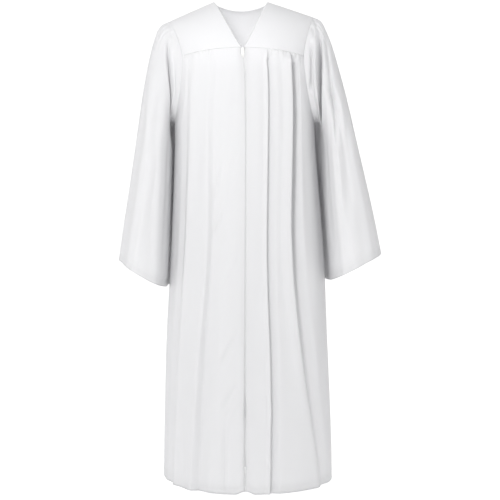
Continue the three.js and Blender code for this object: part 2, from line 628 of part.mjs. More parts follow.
// Closed wall of cloth around a grid of middle points.
function clothWall(grid, tally, closed, outward, thickness) {
  const rows = grid.length;
  const columns = grid[0].length;
  const points = drawnBack(grid, closed);
  const positions = [];
  for (const face of [1, -1]) {
    for (let row = 0; row < rows; row += 1) {
      for (let column = 0; column < columns; column += 1) {
        const normal = tally.get(placeKey(grid[row][column])).clone().normalize();
        const point = points[row][column].clone().addScaledVector(normal, face * thickness / 2);
        positions.push(point.x, point.y, point.z);
      }
    }
  }
  const inner = rows * columns;
  const at = (row, column) => row * columns + column % columns;
  const index = [];
  const quad = (a, b, c, d) => {
    if (outward > 0) index.push(a, b, c, a, c, d);
    else index.push(a, c, b, a, d, c);
  };
  for (let row = 0; row < rows - 1; row += 1) {
    for (let column = 0; column < (closed ? columns : columns - 1); column += 1) {
      const corners = [at(row, column), at(row, column + 1), at(row + 1, column + 1), at(row + 1, column)];
      quad(...corners);
      quad(...corners.map((corner) => corner + inner).reverse());
    }
    if (!closed) {
      const end = columns - 1;
      quad(at(row, 0), at(row + 1, 0), at(row + 1, 0) + inner, at(row, 0) + inner);
      quad(at(row + 1, end), at(row, end), at(row, end) + inner, at(row + 1, end) + inner);
    }
  }
  for (let column = 0; column < (closed ? columns : columns - 1); column += 1) {
    const end = rows - 1;
    quad(at(0, column + 1), at(0, column), at(0, column) + inner, at(0, column + 1) + inner);
    quad(at(end, column), at(end, column + 1), at(end, column + 1) + inner, at(end, column) + inner);
  }
  const geometry = new THREE.BufferGeometry();
  geometry.setAttribute('position', new THREE.Float32BufferAttribute(positions, 3));
  geometry.setIndex(index);
  geometry.computeVertexNormals();
  return geometry;
}

// ---------------------------------------------------------------- zip

// Strip of zip tape behind one front edge, made from the front's own rows moved inwards.
function tapeGrid(side) {
  const rows = [];
  const inward = CLOTH / 2 + ZIP.standOff + ZIP.tape / 2;
  for (let step = 0; step <= ARM_ROWS + SKIRT_ROWS; step += 1) {
    const z = rowHeight(step);
    const across = [ZIP.tapeHalfGap, ZIP.tapeHalfGap + ZIP.tapeWidth];
    const points = across.map((distance) => new THREE.Vector3(
      bodyValue(z, 'centre') + side * distance, sectionDepth(-1, side, distance, z) + inward, z));
    rows.push(side < 0 ? points.reverse() : points);
    if (z < ZIP.end) break;
  }
  const end = rows.at(-1);
  const above = rows.at(-2);
  const share = (above[0].z - ZIP.end) / (above[0].z - end[0].z);
  end.forEach((point, column) => point.lerpVectors(above[column], point.clone(), share));
  return rows;
}

// Group at the zip's top, on the tape's face and leaning as the front does.
function sliderGroup() {
  const z = SLIDER.topZ;
  const face = sectionDepth(-1, 1, 0, z);
  const lower = sectionDepth(-1, 1, 0, z - SLIDER.length);
  const group = new THREE.Group();
  group.position.set(bodyValue(z, 'centre'), face + CLOTH / 2 + ZIP.standOff - SLIDER.seat, z);
  group.rotation.x = Math.atan2(lower - face, SLIDER.length);
  return group;
}

// Distance of the tab's pin in front of the slider's back face.
function pinReach() {
  return SLIDER.depth + LUG.radius + LUG.stand;
}

function toSolid(geometry) {
  const bare = geometry.clone();
  bare.deleteAttribute('normal');
  bare.deleteAttribute('uv');
  const merged = mergeVertices(bare, 1e-4);
  const source = { numProp: 3, vertProperties: merged.attributes.position.array,
    triVerts: new Uint32Array(merged.index.array) };
  return new wasm.Manifold(new wasm.Mesh(source));
}

function fromSolid(solid) {
  const mesh = solid.getMesh();
  const geometry = new THREE.BufferGeometry();
  geometry.setAttribute('position', new THREE.BufferAttribute(new Float32Array(mesh.vertProperties), 3));
  geometry.setIndex(new THREE.BufferAttribute(new Uint32Array(mesh.triVerts), 1));
  geometry.computeVertexNormals();
  return geometry;
}

// Round bar along X.
function crossBar(radius, length) {
  const geometry = new THREE.CylinderGeometry(radius, radius, length, 16);
  geometry.rotateZ(QUARTER);
  return geometry;
}

// Slider body with a lug on its face; the lug is bored for the tab's pin.
function sliderGeometry() {
  const plate = new THREE.BoxGeometry(SLIDER.width, SLIDER.depth, SLIDER.length);
  plate.translate(0, -SLIDER.depth / 2, -SLIDER.length / 2);
  const reach = pinReach();
  const neck = new THREE.BoxGeometry(LUG.width, reach - LUG.root, 2 * LUG.radius);
  neck.translate(0, -(reach + LUG.root) / 2, PIN.z);
  const round = crossBar(LUG.radius, LUG.width);
  round.translate(0, -reach, PIN.z);
  const bore = crossBar(PIN.radius + PIN.clearance, 2 * LUG.width);
  bore.translate(0, -reach, PIN.z);
  return fromSolid(toSolid(plate).add(toSolid(neck)).add(toSolid(round)).subtract(toSolid(bore)));
}

// Pull tab: a plate forked round the lug, with its pin across the fork. Its origin is on the pin.
function tabGeometry() {
  const outline = new THREE.Shape();
  const half = TAB.width / 2;
  const slot = LUG.width / 2 + PIN.clearance;
  const top = TAB.thick / 2 + TAB.rim;
  outline.moveTo(-half, top);
  outline.lineTo(-half, -TAB.length + TAB.tipRadius);
  outline.quadraticCurveTo(-half, -TAB.length, -half + TAB.tipRadius, -TAB.length);
  outline.lineTo(half - TAB.tipRadius, -TAB.length);
  outline.quadraticCurveTo(half, -TAB.length, half, -TAB.length + TAB.tipRadius);
  outline.lineTo(half, top);
  outline.lineTo(slot, top);
  outline.lineTo(slot, -TAB.slotFloor);
  outline.lineTo(-slot, -TAB.slotFloor);
  outline.lineTo(-slot, top);
  outline.closePath();
  const sweep = { depth: TAB.thick, bevelEnabled: false, curveSegments: 4 };
  const plate = new THREE.ExtrudeGeometry(outline, sweep);
  plate.translate(0, 0, -TAB.thick / 2);
  plate.rotateX(QUARTER);
  const pin = crossBar(PIN.radius, TAB.width - 2 * PIN.inset);
  return fromSolid(toSolid(plate).add(toSolid(pin)));
}

// ---------------------------------------------------------------- robe

const CLOTH_PIECES = [
  { name: 'yoke_front_right', grid: yokeFrontGrid(-1), closed: false, outward: -1, seamRow: -1 },
  { name: 'yoke_front_left', grid: yokeFrontGrid(1), closed: false, outward: -1, seamRow: -1 },
  { name: 'yoke_back', grid: yokeBackGrid(), closed: false, outward: 1, seamRow: -1 },
  { name: 'front_right', grid: frontGrid(-1), closed: false, outward: -1, seamRow: 0 },
  { name: 'front_left', grid: frontGrid(1), closed: false, outward: -1, seamRow: 0 },
  { name: 'back', grid: backGrid(), closed: false, outward: 1, seamRow: 0 },
  { name: 'sleeve_right', grid: sleeveGrid(-1), closed: true, outward: -1 },
  { name: 'sleeve_left', grid: sleeveGrid(1), closed: true, outward: 1 },
];

function addCloth(robe) {
  const tally = new Map();
  for (const piece of CLOTH_PIECES) tallyNormals(tally, piece.grid, piece.closed, piece.outward);
  for (const piece of CLOTH_PIECES) {
    if (piece.closed) alignSeamNormals(tally, piece.grid[0]);
    if (piece.seamRow !== undefined) levelSeamNormals(tally, piece.grid.at(piece.seamRow), piece.outward);
  }
  for (const piece of CLOTH_PIECES) {
    const geometry = clothWall(piece.grid, tally, piece.closed, piece.outward, CLOTH);
    const mesh = new THREE.Mesh(geometry, clothMaterial());
    mesh.name = piece.name;
    robe.add(mesh);
  }
}

function addZip(robe) {
  for (const side of [-1, 1]) {
    const grid = tapeGrid(side);
    const tally = new Map();
    tallyNormals(tally, grid, false, -1);
    const tape = new THREE.Mesh(clothWall(grid, tally, false, -1, ZIP.tape), tapeMaterial());
    tape.name = side < 0 ? 'zip_tape_right' : 'zip_tape_left';
    robe.add(tape);
  }
  const group = sliderGroup();
  const slider = new THREE.Mesh(sliderGeometry(), sliderMaterial());
  slider.name = 'zip_slider';
  const tab = new THREE.Mesh(tabGeometry(), sliderMaterial());
  tab.name = 'zip_pull_tab';
  tab.position.set(0, -pinReach(), PIN.z);
  group.add(slider, tab);
  robe.add(group);
}

const robe = new THREE.Group();
addCloth(robe);
addZip(robe);

export default robe;
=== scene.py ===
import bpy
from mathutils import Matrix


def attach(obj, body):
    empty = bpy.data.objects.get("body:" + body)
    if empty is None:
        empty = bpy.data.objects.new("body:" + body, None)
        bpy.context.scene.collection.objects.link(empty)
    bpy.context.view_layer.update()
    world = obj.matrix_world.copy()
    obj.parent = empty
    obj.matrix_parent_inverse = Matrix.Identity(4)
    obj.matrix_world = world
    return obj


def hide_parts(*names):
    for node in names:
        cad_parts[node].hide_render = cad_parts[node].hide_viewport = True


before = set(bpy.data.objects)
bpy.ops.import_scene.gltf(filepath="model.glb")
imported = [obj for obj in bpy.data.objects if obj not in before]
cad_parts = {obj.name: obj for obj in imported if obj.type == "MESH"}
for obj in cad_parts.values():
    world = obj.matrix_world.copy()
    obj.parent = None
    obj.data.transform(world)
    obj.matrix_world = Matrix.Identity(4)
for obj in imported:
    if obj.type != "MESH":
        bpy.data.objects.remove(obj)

"""Choir robe, full length, in its worn, filled-out shape with no wearer in it.

Every piece of cloth is a thin shell on a grid. A surface function gives the place of each grid point
from its place on the cloth, so pieces that share a seam share its line. Lengths in the tables are in
millimetres; meshes are made in metres. +Z is up, -Y is the front, +X is the wearer's left.
"""

import logging
import math
from dataclasses import dataclass
from enum import Enum
from typing import Callable, Sequence

import bmesh
import bpy
import numpy as np
from mathutils import Matrix, Vector

logging.basicConfig(level=logging.INFO, format="%(message)s")
LOG = logging.getLogger("choir_robe")

MM = 0.001
QUARTER = math.pi / 2

Array = np.ndarray
Surface = Callable[[Array, Array], Array]


class Face(Enum):
    """Which half of the body a piece covers."""

    FRONT = -1
    BACK = 1


class Side(Enum):
    """Which of the wearer's sides a piece is on."""

    RIGHT = -1
    LEFT = 1


class Body(Enum):
    """The rigid bodies that pieces ride on."""

    ROBE = "robe"
    PULL_TAB = "pull_tab"


class Slot(Enum):
    """Material slots of the record."""

    CLOTH = "cloth"
    ZIP_TAPE = "zip_tape"
    ZIP_PULL = "zip_pull"


# ---------------------------------------------------------------- sizes


@dataclass(frozen=True)
class RobeSizes:
    """Driving sizes of the robe in millimetres."""

    hem_z: float = -1306.0
    underarm_z: float = -330.0
    section_power: float = 2.3
    section_fullness: float = 1.03
    cloth: float = 0.7
    lap_out: float = 0.3
    lap_down: float = 1.0
    lap_reach: float = 0.05
    yoke_rows: int = 6
    arm_rows: int = 9
    skirt_rows: int = 8
    armhole_compress: float = 0.55


@dataclass(frozen=True)
class NeckSizes:
    """Neckline: a V in front and a shallow curve at the back."""

    half: float = 74.4
    point_half: float = 1.5
    curve: float = 0.8
    back_rise: float = 13.0
    back_cut: float = 0.36


@dataclass(frozen=True)
class ShoulderSizes:
    """Shoulder seams, which slope a little differently on the two sides."""

    half: float = 196.6
    drop_right: float = 52.0
    drop_left: float = 41.0
    arm_curve: float = 1.3


@dataclass(frozen=True)
class YokeSeamSizes:
    """Seam between the yoke and the hanging panels."""

    centre_z: float = -140.0
    arm_z: float = -155.0
    arm_half: float = 163.0


@dataclass(frozen=True)
class HemSizes:
    """Lift of the hem at the side seams and beside the centre front."""

    right: float = 29.0
    left: float = 16.0
    power: float = 1.8
    rise: float = 4.0
    centre: float = 8.0
    centre_reach: float = 0.05
    turn_up: float = 22.0


@dataclass(frozen=True)
class CentreFrontSizes:
    """The fronts part round the slider, meet down to the slit and hang open below it."""

    notch: float = 4.6
    notch_end: float = -158.0
    meet: float = -172.0
    slit: float = -1042.0
    slit_half: float = 0.15
    openings: tuple[tuple[float, float, float], ...] = ((-1098.0, 2.0, 26.0), (-1232.0, 1.3, 14.0))
    stitch_inset: float = 6.5
    lean_z: tuple[float, ...] = (-160.0, -225.0, -400.0, -676.0, -1000.0, -1300.0)
    lean: tuple[float, ...] = (0.0, 4.5, 4.0, 2.2, 0.8, 0.0)


ROBE = RobeSizes()
NECK = NeckSizes()
SHOULDER = ShoulderSizes()
YOKE_SEAM = YokeSeamSizes()
HEM = HemSizes()
CENTRE = CentreFrontSizes()

BODY_COLUMNS = ("z", "centre", "minus", "plus", "front", "back")
BODY_ROWS = (
    (0, -14, 180, 180, 96, 102),
    (-142, -8.5, 186, 186, 110, 114),
    (-330, -5, 189, 191, 131, 127),
    (-402, -4, 190, 193, 137, 132),
    (-676, -3, 201, 214, 150, 150),
    (-914, -2.5, 213.5, 223.5, 163, 166),
    (-1188, -2, 220.5, 234, 182, 187),
    (-1306, -1.5, 222.5, 235.5, 192, 198),
)


# ---------------------------------------------------------------- small mathematics


def smoothstep(value: Array, low: float, high: float) -> Array:
    """Gives a smooth rise from 0 at low to 1 at high.

    Args:
        value: Places to evaluate.
        low: Where the rise starts.
        high: Where the rise ends.

    Returns:
        Values from 0 to 1.
    """
    share = np.clip((value - low) / (high - low), 0.0, 1.0)
    return share * share * (3.0 - 2.0 * share)


def lerp(start: Array, end: Array, share: Array) -> Array:
    """Blends two values.

    Args:
        start: Value at share 0.
        end: Value at share 1.
        share: The blend.

    Returns:
        The blended value.
    """
    return start + (end - start) * share


class Curve:
    """Smooth curve through the rows of a short table."""

    def __init__(self, keys: Sequence[float], values: Sequence[float]) -> None:
        """Stores the rows with rising keys.

        Args:
            keys: Place of each row.
            values: Value of each row.
        """
        order = np.argsort(keys)
        self.keys = np.asarray(keys, float)[order]
        self.values = np.asarray(values, float)[order]

    def at(self, place: Array) -> Array:
        """Reads the curve.

        Args:
            place: Places along the keys.

        Returns:
            The values there.
        """
        last = len(self.keys) - 1
        low = np.clip(np.searchsorted(self.keys, place, side="right") - 1, 0, last - 1)
        high = low + 1
        before = np.maximum(low - 1, 0)
        after = np.minimum(low + 2, last)
        span = self.keys[high] - self.keys[low]
        share = np.clip((place - self.keys[low]) / span, 0.0, 1.0)
        value = self.values
        slope_in = span * (value[high] - value[before]) / (self.keys[high] - self.keys[before])
        slope_out = span * (value[after] - value[low]) / (self.keys[after] - self.keys[low])
        square = share * share
        cube = square * share
        return (
            (2 * cube - 3 * square + 1) * value[low]
            + (cube - 2 * square + share) * slope_in
            + (3 * square - 2 * cube) * value[high]
            + (cube - square) * slope_out
        )


def table_curves(columns: Sequence[str], rows: Sequence[Sequence[float]]) -> dict[str, Curve]:
    """Makes one curve for each column of a table after its key.

    Args:
        columns: Names, the key first.
        rows: The table.

    Returns:
        The curves by column name.
    """
    keys = [row[0] for row in rows]
    return {name: Curve(keys, [row[place] for row in rows]) for place, name in enumerate(columns) if place}


# ---------------------------------------------------------------- body section


class BodySection:
    """Level section of the hanging body at any height."""

    def __init__(self) -> None:
        """Reads the body table."""
        self.curves = table_curves(BODY_COLUMNS, BODY_ROWS)

    def centre(self, z: Array) -> Array:
        """Gives the centre line's X at a height."""
        return self.curves["centre"].at(z)

    def side_half(self, side: Array, z: Array) -> Array:
        """Gives the half width on a side at a height."""
        return np.where(side < 0, self.curves["minus"].at(z), self.curves["plus"].at(z))

    def face_depth(self, face: Array, z: Array) -> Array:
        """Gives the greatest depth of the front or the back at a height."""
        return np.where(face < 0, self.curves["front"].at(z), self.curves["back"].at(z))

    def depth(self, face: Array, side: Array, across: Array, z: Array) -> Array:
        """Gives Y at a distance from the centre line."""
        reach = np.clip(across / self.side_half(side, z), 0.0, 1.0)
        power = ROBE.section_power
        return face * self.face_depth(face, z) * (1.0 - reach**power) ** (1.0 / power)

    def half(self, side: Array, y: Array, z: Array) -> Array:
        """Gives the half width of the section at a depth."""
        power = ROBE.section_power
        reach = np.clip(np.abs(y) / self.face_depth(np.sign(y), z), 0.0, 1.0)
        return self.side_half(side, z) * (1.0 - reach**power) ** (1.0 / power)

    def out(self, face: Array, side: Array, across: Array, y: Array, z: Array) -> Array:
        """Gives the level direction out of the section, as unit vectors."""
        half = self.side_half(side, z)
        depth = self.face_depth(face, z)
        power = ROBE.section_power - 1.0
        out_x = side * np.clip(across / half, 0.0, 1.0) ** power / half
        out_y = face * np.clip(np.abs(y) / depth, 0.0, 1.0) ** power / depth
        length = np.maximum(np.hypot(out_x, out_y), 1e-12)
        return np.stack([out_x / length, out_y / length, np.zeros_like(length)], axis=-1)

    def arc(self, face: Array, side: Array, z: Array) -> Array:
        """Gives the length of the section from the centre line to the side, nearly."""
        spread = np.hypot(self.side_half(side, z), self.face_depth(face, z))
        return ROBE.section_fullness * QUARTER * spread / math.sqrt(2.0)


SECTION = BodySection()


# ---------------------------------------------------------------- folds and creases

FOLD_LEVELS = (-150.0, -330.0, -676.0, -1000.0, ROBE.hem_z)


@dataclass(frozen=True)
class Fold:
    """A pleat or flute that runs the length of a panel.

    Attributes:
        line: Place across the cloth at the five fold levels, -1 to 1 from seam to seam.
        lip: Height of the raised lip on its -X side.
        lip_width: Width of the lip.
        trough: Depth of the trough on its +X side.
        trough_width: Width of the trough.
        step: Half the width of the step between lip and trough.
        strength: Share of the heights at the five levels.
        softness: Share of the step's width at the five levels.
    """

    line: tuple[float, ...]
    lip: float
    lip_width: float
    trough: float
    trough_width: float
    step: float
    strength: tuple[float, ...] = (1.0, 1.0, 1.0, 1.0, 1.0)
    softness: tuple[float, ...] = (1.0, 1.0, 1.0, 1.0, 1.0)

    def at(self, z: Array) -> Array:
        """Gives the fold's place at a height."""
        return Curve(FOLD_LEVELS, self.line).at(z)

    def height(self, distance: Array, z: Array) -> Array:
        """Gives the cloth's height at a signed distance from the fold's line."""
        step = self.step * Curve(FOLD_LEVELS, self.softness).at(z)
        lip = self.lip * smoothstep(distance + step, -self.lip_width, 0.0)
        trough = -self.trough * (1.0 - smoothstep(distance - step, 0.0, self.trough_width))
        middle = lerp(self.lip, -self.trough, smoothstep(distance / step, -1.0, 1.0))
        shape = np.where(distance < -step, lip, np.where(distance > step, trough, middle))
        return shape * Curve(FOLD_LEVELS, self.strength).at(z)

    def offsets(self) -> list[float]:
        """Gives the distances from the line between which columns are laid out."""
        return [-self.lip_width - self.step, -self.step, self.step, self.step + self.trough_width]


FRONT_FOLDS = (
    Fold((-0.5, -0.55, -0.56, -0.6, -0.64), -4, 30, -3, 24, 4,
         strength=(0.2, 0.5, 1.0, 1.5, 1.3), softness=(2.5, 2.2, 2.0, 2.0, 2.2)),
    Fold((-0.235, -0.285, -0.275, -0.328, -0.37), 3.5, 34, 5, 40, 3.4,
         strength=(0.2, 0.7, 1.2, 1.7, 2.0), softness=(3.0, 2.2, 1.8, 2.4, 3.0)),
    Fold((0.184, 0.173, 0.138, 0.155, 0.144), 3.2, 12, 8.0, 26, 0.7,
         strength=(1.0, 1.0, 1.15, 1.3, 1.2), softness=(0.7, 0.7, 0.7, 1.1, 1.0)),
    Fold((0.43, 0.418, 0.358, 0.46, 0.62), 8, 30, 20, 42, 2.2,
         strength=(1.3, 1.35, 1.05, 0.65, 0.38), softness=(0.5, 0.6, 2.2, 6.0, 8.0)),
)
BACK_FOLDS = (
    Fold((-0.72, -0.72, -0.73, -0.75, -0.77), -6, 18, -6, 18, 5),
    Fold((-0.55, -0.56, -0.58, -0.57, -0.58), -8, 17, -7, 17, 5),
    Fold((-0.4, -0.41, -0.4, -0.42, -0.41), -7, 16, -9, 16, 4),
    Fold((-0.255, -0.25, -0.262, -0.255, -0.25), -9, 16, -8, 16, 4),
    Fold((-0.11, -0.105, -0.1, -0.095, -0.1), -8, 16, -6, 14, 4),
    Fold((0.09, 0.095, 0.1, 0.09, 0.1), 6, 16, 9, 16, 4),
    Fold((0.245, 0.25, 0.24, 0.255, 0.26), 9, 16, 7, 16, 4),
    Fold((0.39, 0.4, 0.405, 0.4, 0.42), 7, 16, 8, 16, 4),
    Fold((0.545, 0.55, 0.56, 0.57, 0.58), 8, 17, 8, 17, 5),
    Fold((0.71, 0.715, 0.72, 0.74, 0.76), 5, 18, 7, 18, 5),
)
FOLD_START = 26.0
FOLD_SIDE_FADE = 30.0


@dataclass(frozen=True)
class Crease:
    """A soft trough or ridge laid on the cloth.

    Attributes:
        start: Place across the cloth and height of its upper end.
        end: Place across the cloth and height of its lower end.
        height: Height of the ridge; below zero it is a trough.
        width: Half its width.
    """

    start: tuple[float, float]
    end: tuple[float, float]
    height: float
    width: float

    def relief(self, place: Array, z: Array, arc: Array) -> Array:
        """Gives the crease's height over the cloth.

        Args:
            place: Places across the cloth.
            z: Heights on the cloth.
            arc: Length that a place of 1 stands for.

        Returns:
            Heights in millimetres.
        """
        along = np.array([(self.end[0] - self.start[0]) * 1.0, self.end[1] - self.start[1]])
        run_x = along[0] * arc
        run_z = along[1]
        length = np.maximum(np.hypot(run_x, run_z), 1e-6)
        at_x = (place - self.start[0]) * arc
        at_z = z - self.start[1]
        share = (at_x * run_x + at_z * run_z) / (length * length)
        across = (at_x * run_z - at_z * run_x) / length
        ends = smoothstep(share, 0.0, 0.35) * (1.0 - smoothstep(share, 0.65, 1.0))
        return self.height * ends * np.exp(-((across / self.width) ** 2))


FRONT_CREASES = (
    Crease((-0.045, -400), (-0.14, -520), -2.0, 7),
    Crease((-0.05, -640), (-0.15, -800), 2.0, 8),
    Crease((-0.03, -880), (-0.17, -985), -4.4, 5),
    Crease((-0.03, -1010), (-0.15, -1100), -4.0, 5),
    Crease((-0.035, -1060), (-0.12, -1120), 3.2, 6),
    Crease((-0.19, -420), (-0.25, -560), -2.6, 6),
    Crease((-0.16, -560), (-0.26, -650), -2.8, 5),
    Crease((-0.06, -170), (-0.1, -420), -1.0, 9),
    Crease((-0.12, -1100), (-0.13, -1330), -4.4, 4),
    Crease((-0.16, -200), (-0.2, -520), 1.0, 12),
    Crease((-0.38, -170), (-0.41, -640), -1.6, 16),
    Crease((-0.43, -500), (-0.5, -1280), 2.4, 26),
    Crease((-0.2, -760), (-0.24, -1290), -1.8, 20),
    Crease((-0.7, -340), (-0.76, -900), -2.0, 20),
    Crease((-0.8, -700), (-0.83, -1290), 2.0, 22),
    Crease((0.09, -180), (0.075, -560), 1.0, 12),
    Crease((0.08, -620), (0.06, -1280), -1.4, 14),
    Crease((0.3, -170), (0.27, -620), 1.4, 14),
    Crease((0.26, -480), (0.3, -1250), -1.6, 16),
    Crease((0.33, -700), (0.44, -1290), 1.8, 16),
    Crease((0.6, -200), (0.55, -700), -2.0, 18),
    Crease((0.62, -600), (0.6, -1180), 2.2, 20),
    Crease((0.29, -1120), (0.29, -1330), -3.6, 4),
    Crease((0.8, -380), (0.8, -1000), -2.0, 20),
    Crease((0.86, -820), (0.84, -1290), 1.8, 20),
)
BACK_CREASES = (
    Crease((-0.02, -240), (0.01, -900), 1.8, 14),
    Crease((0.0, -880), (-0.02, -1290), -1.8, 16),
    Crease((-0.33, -300), (-0.34, -1000), 1.4, 12),
    Crease((0.32, -420), (0.33, -1200), -1.6, 12),
    Crease((-0.47, -560), (-0.5, -1290), -1.6, 12),
    Crease((0.48, -260), (0.49, -800), 1.4, 12),
    Crease((0.64, -500), (0.66, -1280), -2.0, 16),
    Crease((-0.66, -340), (-0.66, -980), 1.8, 16),
    Crease((0.17, -700), (0.18, -1290), 1.2, 10),
    Crease((-0.18, -240), (-0.18, -760), -1.2, 10),
    Crease((0.86, -420), (0.86, -1250), -2.2, 20),
    Crease((-0.86, -380), (-0.88, -1200), 2.0, 20),
)


@dataclass(frozen=True)
class Puckers:
    """Short uneven gathers that hang from the yoke seam.

    Attributes:
        first: First place across the cloth.
        last: Last place.
        count: How many ridges there are.
        height: Height of the ridges.
        length: How far down they reach.
        seed: Sets their unevenness.
    """

    first: float
    last: float
    count: int
    height: float
    length: float
    seed: float

    def relief(self, place: Array, below: Array) -> Array:
        """Gives the gathers' height over the cloth."""
        share = (place - self.first) / (self.last - self.first)
        inside = smoothstep(share, 0.0, 0.08) * (1.0 - smoothstep(share, 0.92, 1.0))
        phase = share * self.count + 0.35 * np.sin(share * self.count * 1.7 + self.seed)
        uneven = 0.65 + 0.35 * np.sin(np.floor(phase) * 2.4 + self.seed)
        ridge = np.sin(math.pi * (phase - np.floor(phase))) ** 2 * uneven
        reach = self.length * (0.6 + 0.4 * np.sin(np.floor(phase) * 4.1 + self.seed))
        fall = smoothstep(below, 0.0, 4.0) * np.exp(-np.maximum(below - 4.0, 0.0) / np.maximum(reach, 4.0))
        return self.height * ridge * inside * fall


FRONT_PUCKERS = (
    Puckers(0.21, 0.44, 6, 4.2, 18, 0.4),
    Puckers(0.47, 0.92, 9, 4.4, 22, 1.9),
    Puckers(-0.92, -0.2, 11, 2.8, 18, 3.1),
)
BACK_PUCKERS = (
    Puckers(-0.95, 0.0, 26, 1.8, 30, 0.9),
    Puckers(0.0, 0.95, 25, 1.8, 30, 2.3),
)


def panel_relief(folds: Sequence[Fold], creases: Sequence[Crease], face: Array, place: Array,
                 z: Array, below: Array) -> Array:
    """Adds up the folds and creases of a panel.

    Args:
        folds: Folds that run its length.
        creases: Creases laid on it.
        face: -1 on the front, 1 on the back.
        place: Places across the cloth.
        z: Heights.
        below: Distance below the yoke seam.

    Returns:
        Heights in millimetres, none at the yoke and side seams.
    """
    arc = SECTION.arc(face, np.sign(place), z)
    height = np.zeros_like(z)
    for fold in folds:
        height = height + fold.height((place - fold.at(z)) * arc, z)
    for crease in creases:
        height = height + crease.relief(place, z, arc)
    height = height * smoothstep(below, 0.0, FOLD_START)
    if folds:
        for puckers in FRONT_PUCKERS if folds is FRONT_FOLDS else BACK_PUCKERS:
            height = height + puckers.relief(place, below)
    edge = smoothstep((1.0 - np.abs(place)) * arc, 0.0, FOLD_SIDE_FADE)
    return height * edge


# ---------------------------------------------------------------- panels


def yoke_seam_z(across: Array) -> Array:
    """Gives the height of the yoke seam at a distance from the centre line."""
    share = across / YOKE_SEAM.arm_half
    return YOKE_SEAM.centre_z + (YOKE_SEAM.arm_z - YOKE_SEAM.centre_z) * share * share


def centre_gap(z: Array) -> Array:
    """Gives half of the gap between the two fronts at a height."""
    notch = CENTRE.notch * smoothstep(z, CENTRE.meet, CENTRE.notch_end)
    gap = notch + CENTRE.slit_half * smoothstep(-z, -CENTRE.slit, -CENTRE.slit + 20.0)
    for middle, half, reach in CENTRE.openings:
        gap = gap + half * np.exp(-(((z - middle) / reach) ** 2))
    return gap


def centre_lean(z: Array) -> Array:
    """Gives how far the line where the fronts meet lies to the wearer's left at a height."""
    return Curve(CENTRE.lean_z, CENTRE.lean).at(z)


def armhole_step(side: Array, step: Array) -> tuple[Array, Array]:
    """Gives the height and the section place of the armhole at a step below the yoke seam."""
    turn = np.minimum(step / ROBE.arm_rows, 1.0) * QUARTER
    z = YOKE_SEAM.arm_z + (ROBE.underarm_z - YOKE_SEAM.arm_z) * np.sin(turn)
    reach = YOKE_SEAM.arm_half / SECTION.side_half(side, np.full_like(turn, YOKE_SEAM.arm_z))
    seam_place = np.arcsin(reach ** (ROBE.section_power / 2.0)) / QUARTER
    return z, lerp(seam_place, 1.0, 1.0 - np.cos(turn))


def drawn_in(place: Array, edge: Array) -> Array:
    """Draws a place of the cloth in so that the cloth ends at the armhole."""
    across = np.abs(place)
    keep = ROBE.armhole_compress
    return np.where(across <= keep, across, keep + (across - keep) * (edge - keep) / (1.0 - keep))


def hem_lift(face: Array, place: Array) -> Array:
    """Gives the lift of the hem at a place across the cloth."""
    side = np.where(place < 0, HEM.right, HEM.left)
    centre = HEM.centre * (1.0 - smoothstep(np.abs(place), 0.0, HEM.centre_reach))
    return side * np.abs(place) ** HEM.power + np.where(face < 0, centre, 0.0)


def panel_point(folds: Sequence[Fold], creases: Sequence[Crease], face: Array, side: Array,
                place: Array, step: Array) -> Array:
    """Places points of a hanging panel.

    Args:
        folds: Folds that run its length.
        creases: Creases laid on it.
        face: -1 on the front, 1 on the back.
        side: -1 on the wearer's right, 1 on the left.
        place: Places across the cloth, -1 to 1.
        step: Rows below the yoke seam.

    Returns:
        Points in millimetres.
    """
    edge_z, edge_place = armhole_step(side, step)
    arm_share = np.minimum(step / ROBE.arm_rows, 1.0)
    skirt_share = np.maximum(step - ROBE.arm_rows, 0.0) / ROBE.skirt_rows
    power = 2.0 / ROBE.section_power
    edge_across = SECTION.side_half(side, edge_z) * np.sin(edge_place * QUARTER) ** power
    turn = np.sin(drawn_in(place, edge_place) * QUARTER) / np.sin(edge_place * QUARTER)
    skirt_z = lerp(ROBE.underarm_z, ROBE.hem_z, skirt_share)
    level_half = np.where(skirt_share > 0, SECTION.side_half(side, skirt_z), edge_across)
    gap_z = lerp(YOKE_SEAM.centre_z, skirt_z, np.where(skirt_share > 0, 1.0, arm_share))
    gap = np.where(face < 0, centre_gap(gap_z) + side * centre_lean(gap_z), 0.0)
    across = lerp(gap, level_half, np.clip(turn, 0.0, 1.0) ** power)
    centre_z = lerp(YOKE_SEAM.centre_z, ROBE.underarm_z, arm_share)
    arm_z = lerp(centre_z, edge_z, (across / level_half) ** 2)
    z = np.where(skirt_share > 0, skirt_z + hem_lift(face, place) * skirt_share**HEM.rise, arm_z)
    y = SECTION.depth(face, side, across, z)
    height = panel_relief(folds, creases, face, place, z, yoke_seam_z(across) - z)
    out = SECTION.out(face, side, across, y, z)
    point = np.stack([SECTION.centre(z) + side * across, y, z], axis=-1)
    return point + out * height[..., None]


def row_height(step: Array) -> Array:
    """Gives the height of a row at the centre line."""
    arm = lerp(YOKE_SEAM.centre_z, ROBE.underarm_z, np.minimum(step / ROBE.arm_rows, 1.0))
    skirt = lerp(ROBE.underarm_z, ROBE.hem_z, (step - ROBE.arm_rows) / ROBE.skirt_rows)
    return np.where(step < ROBE.arm_rows, arm, skirt)


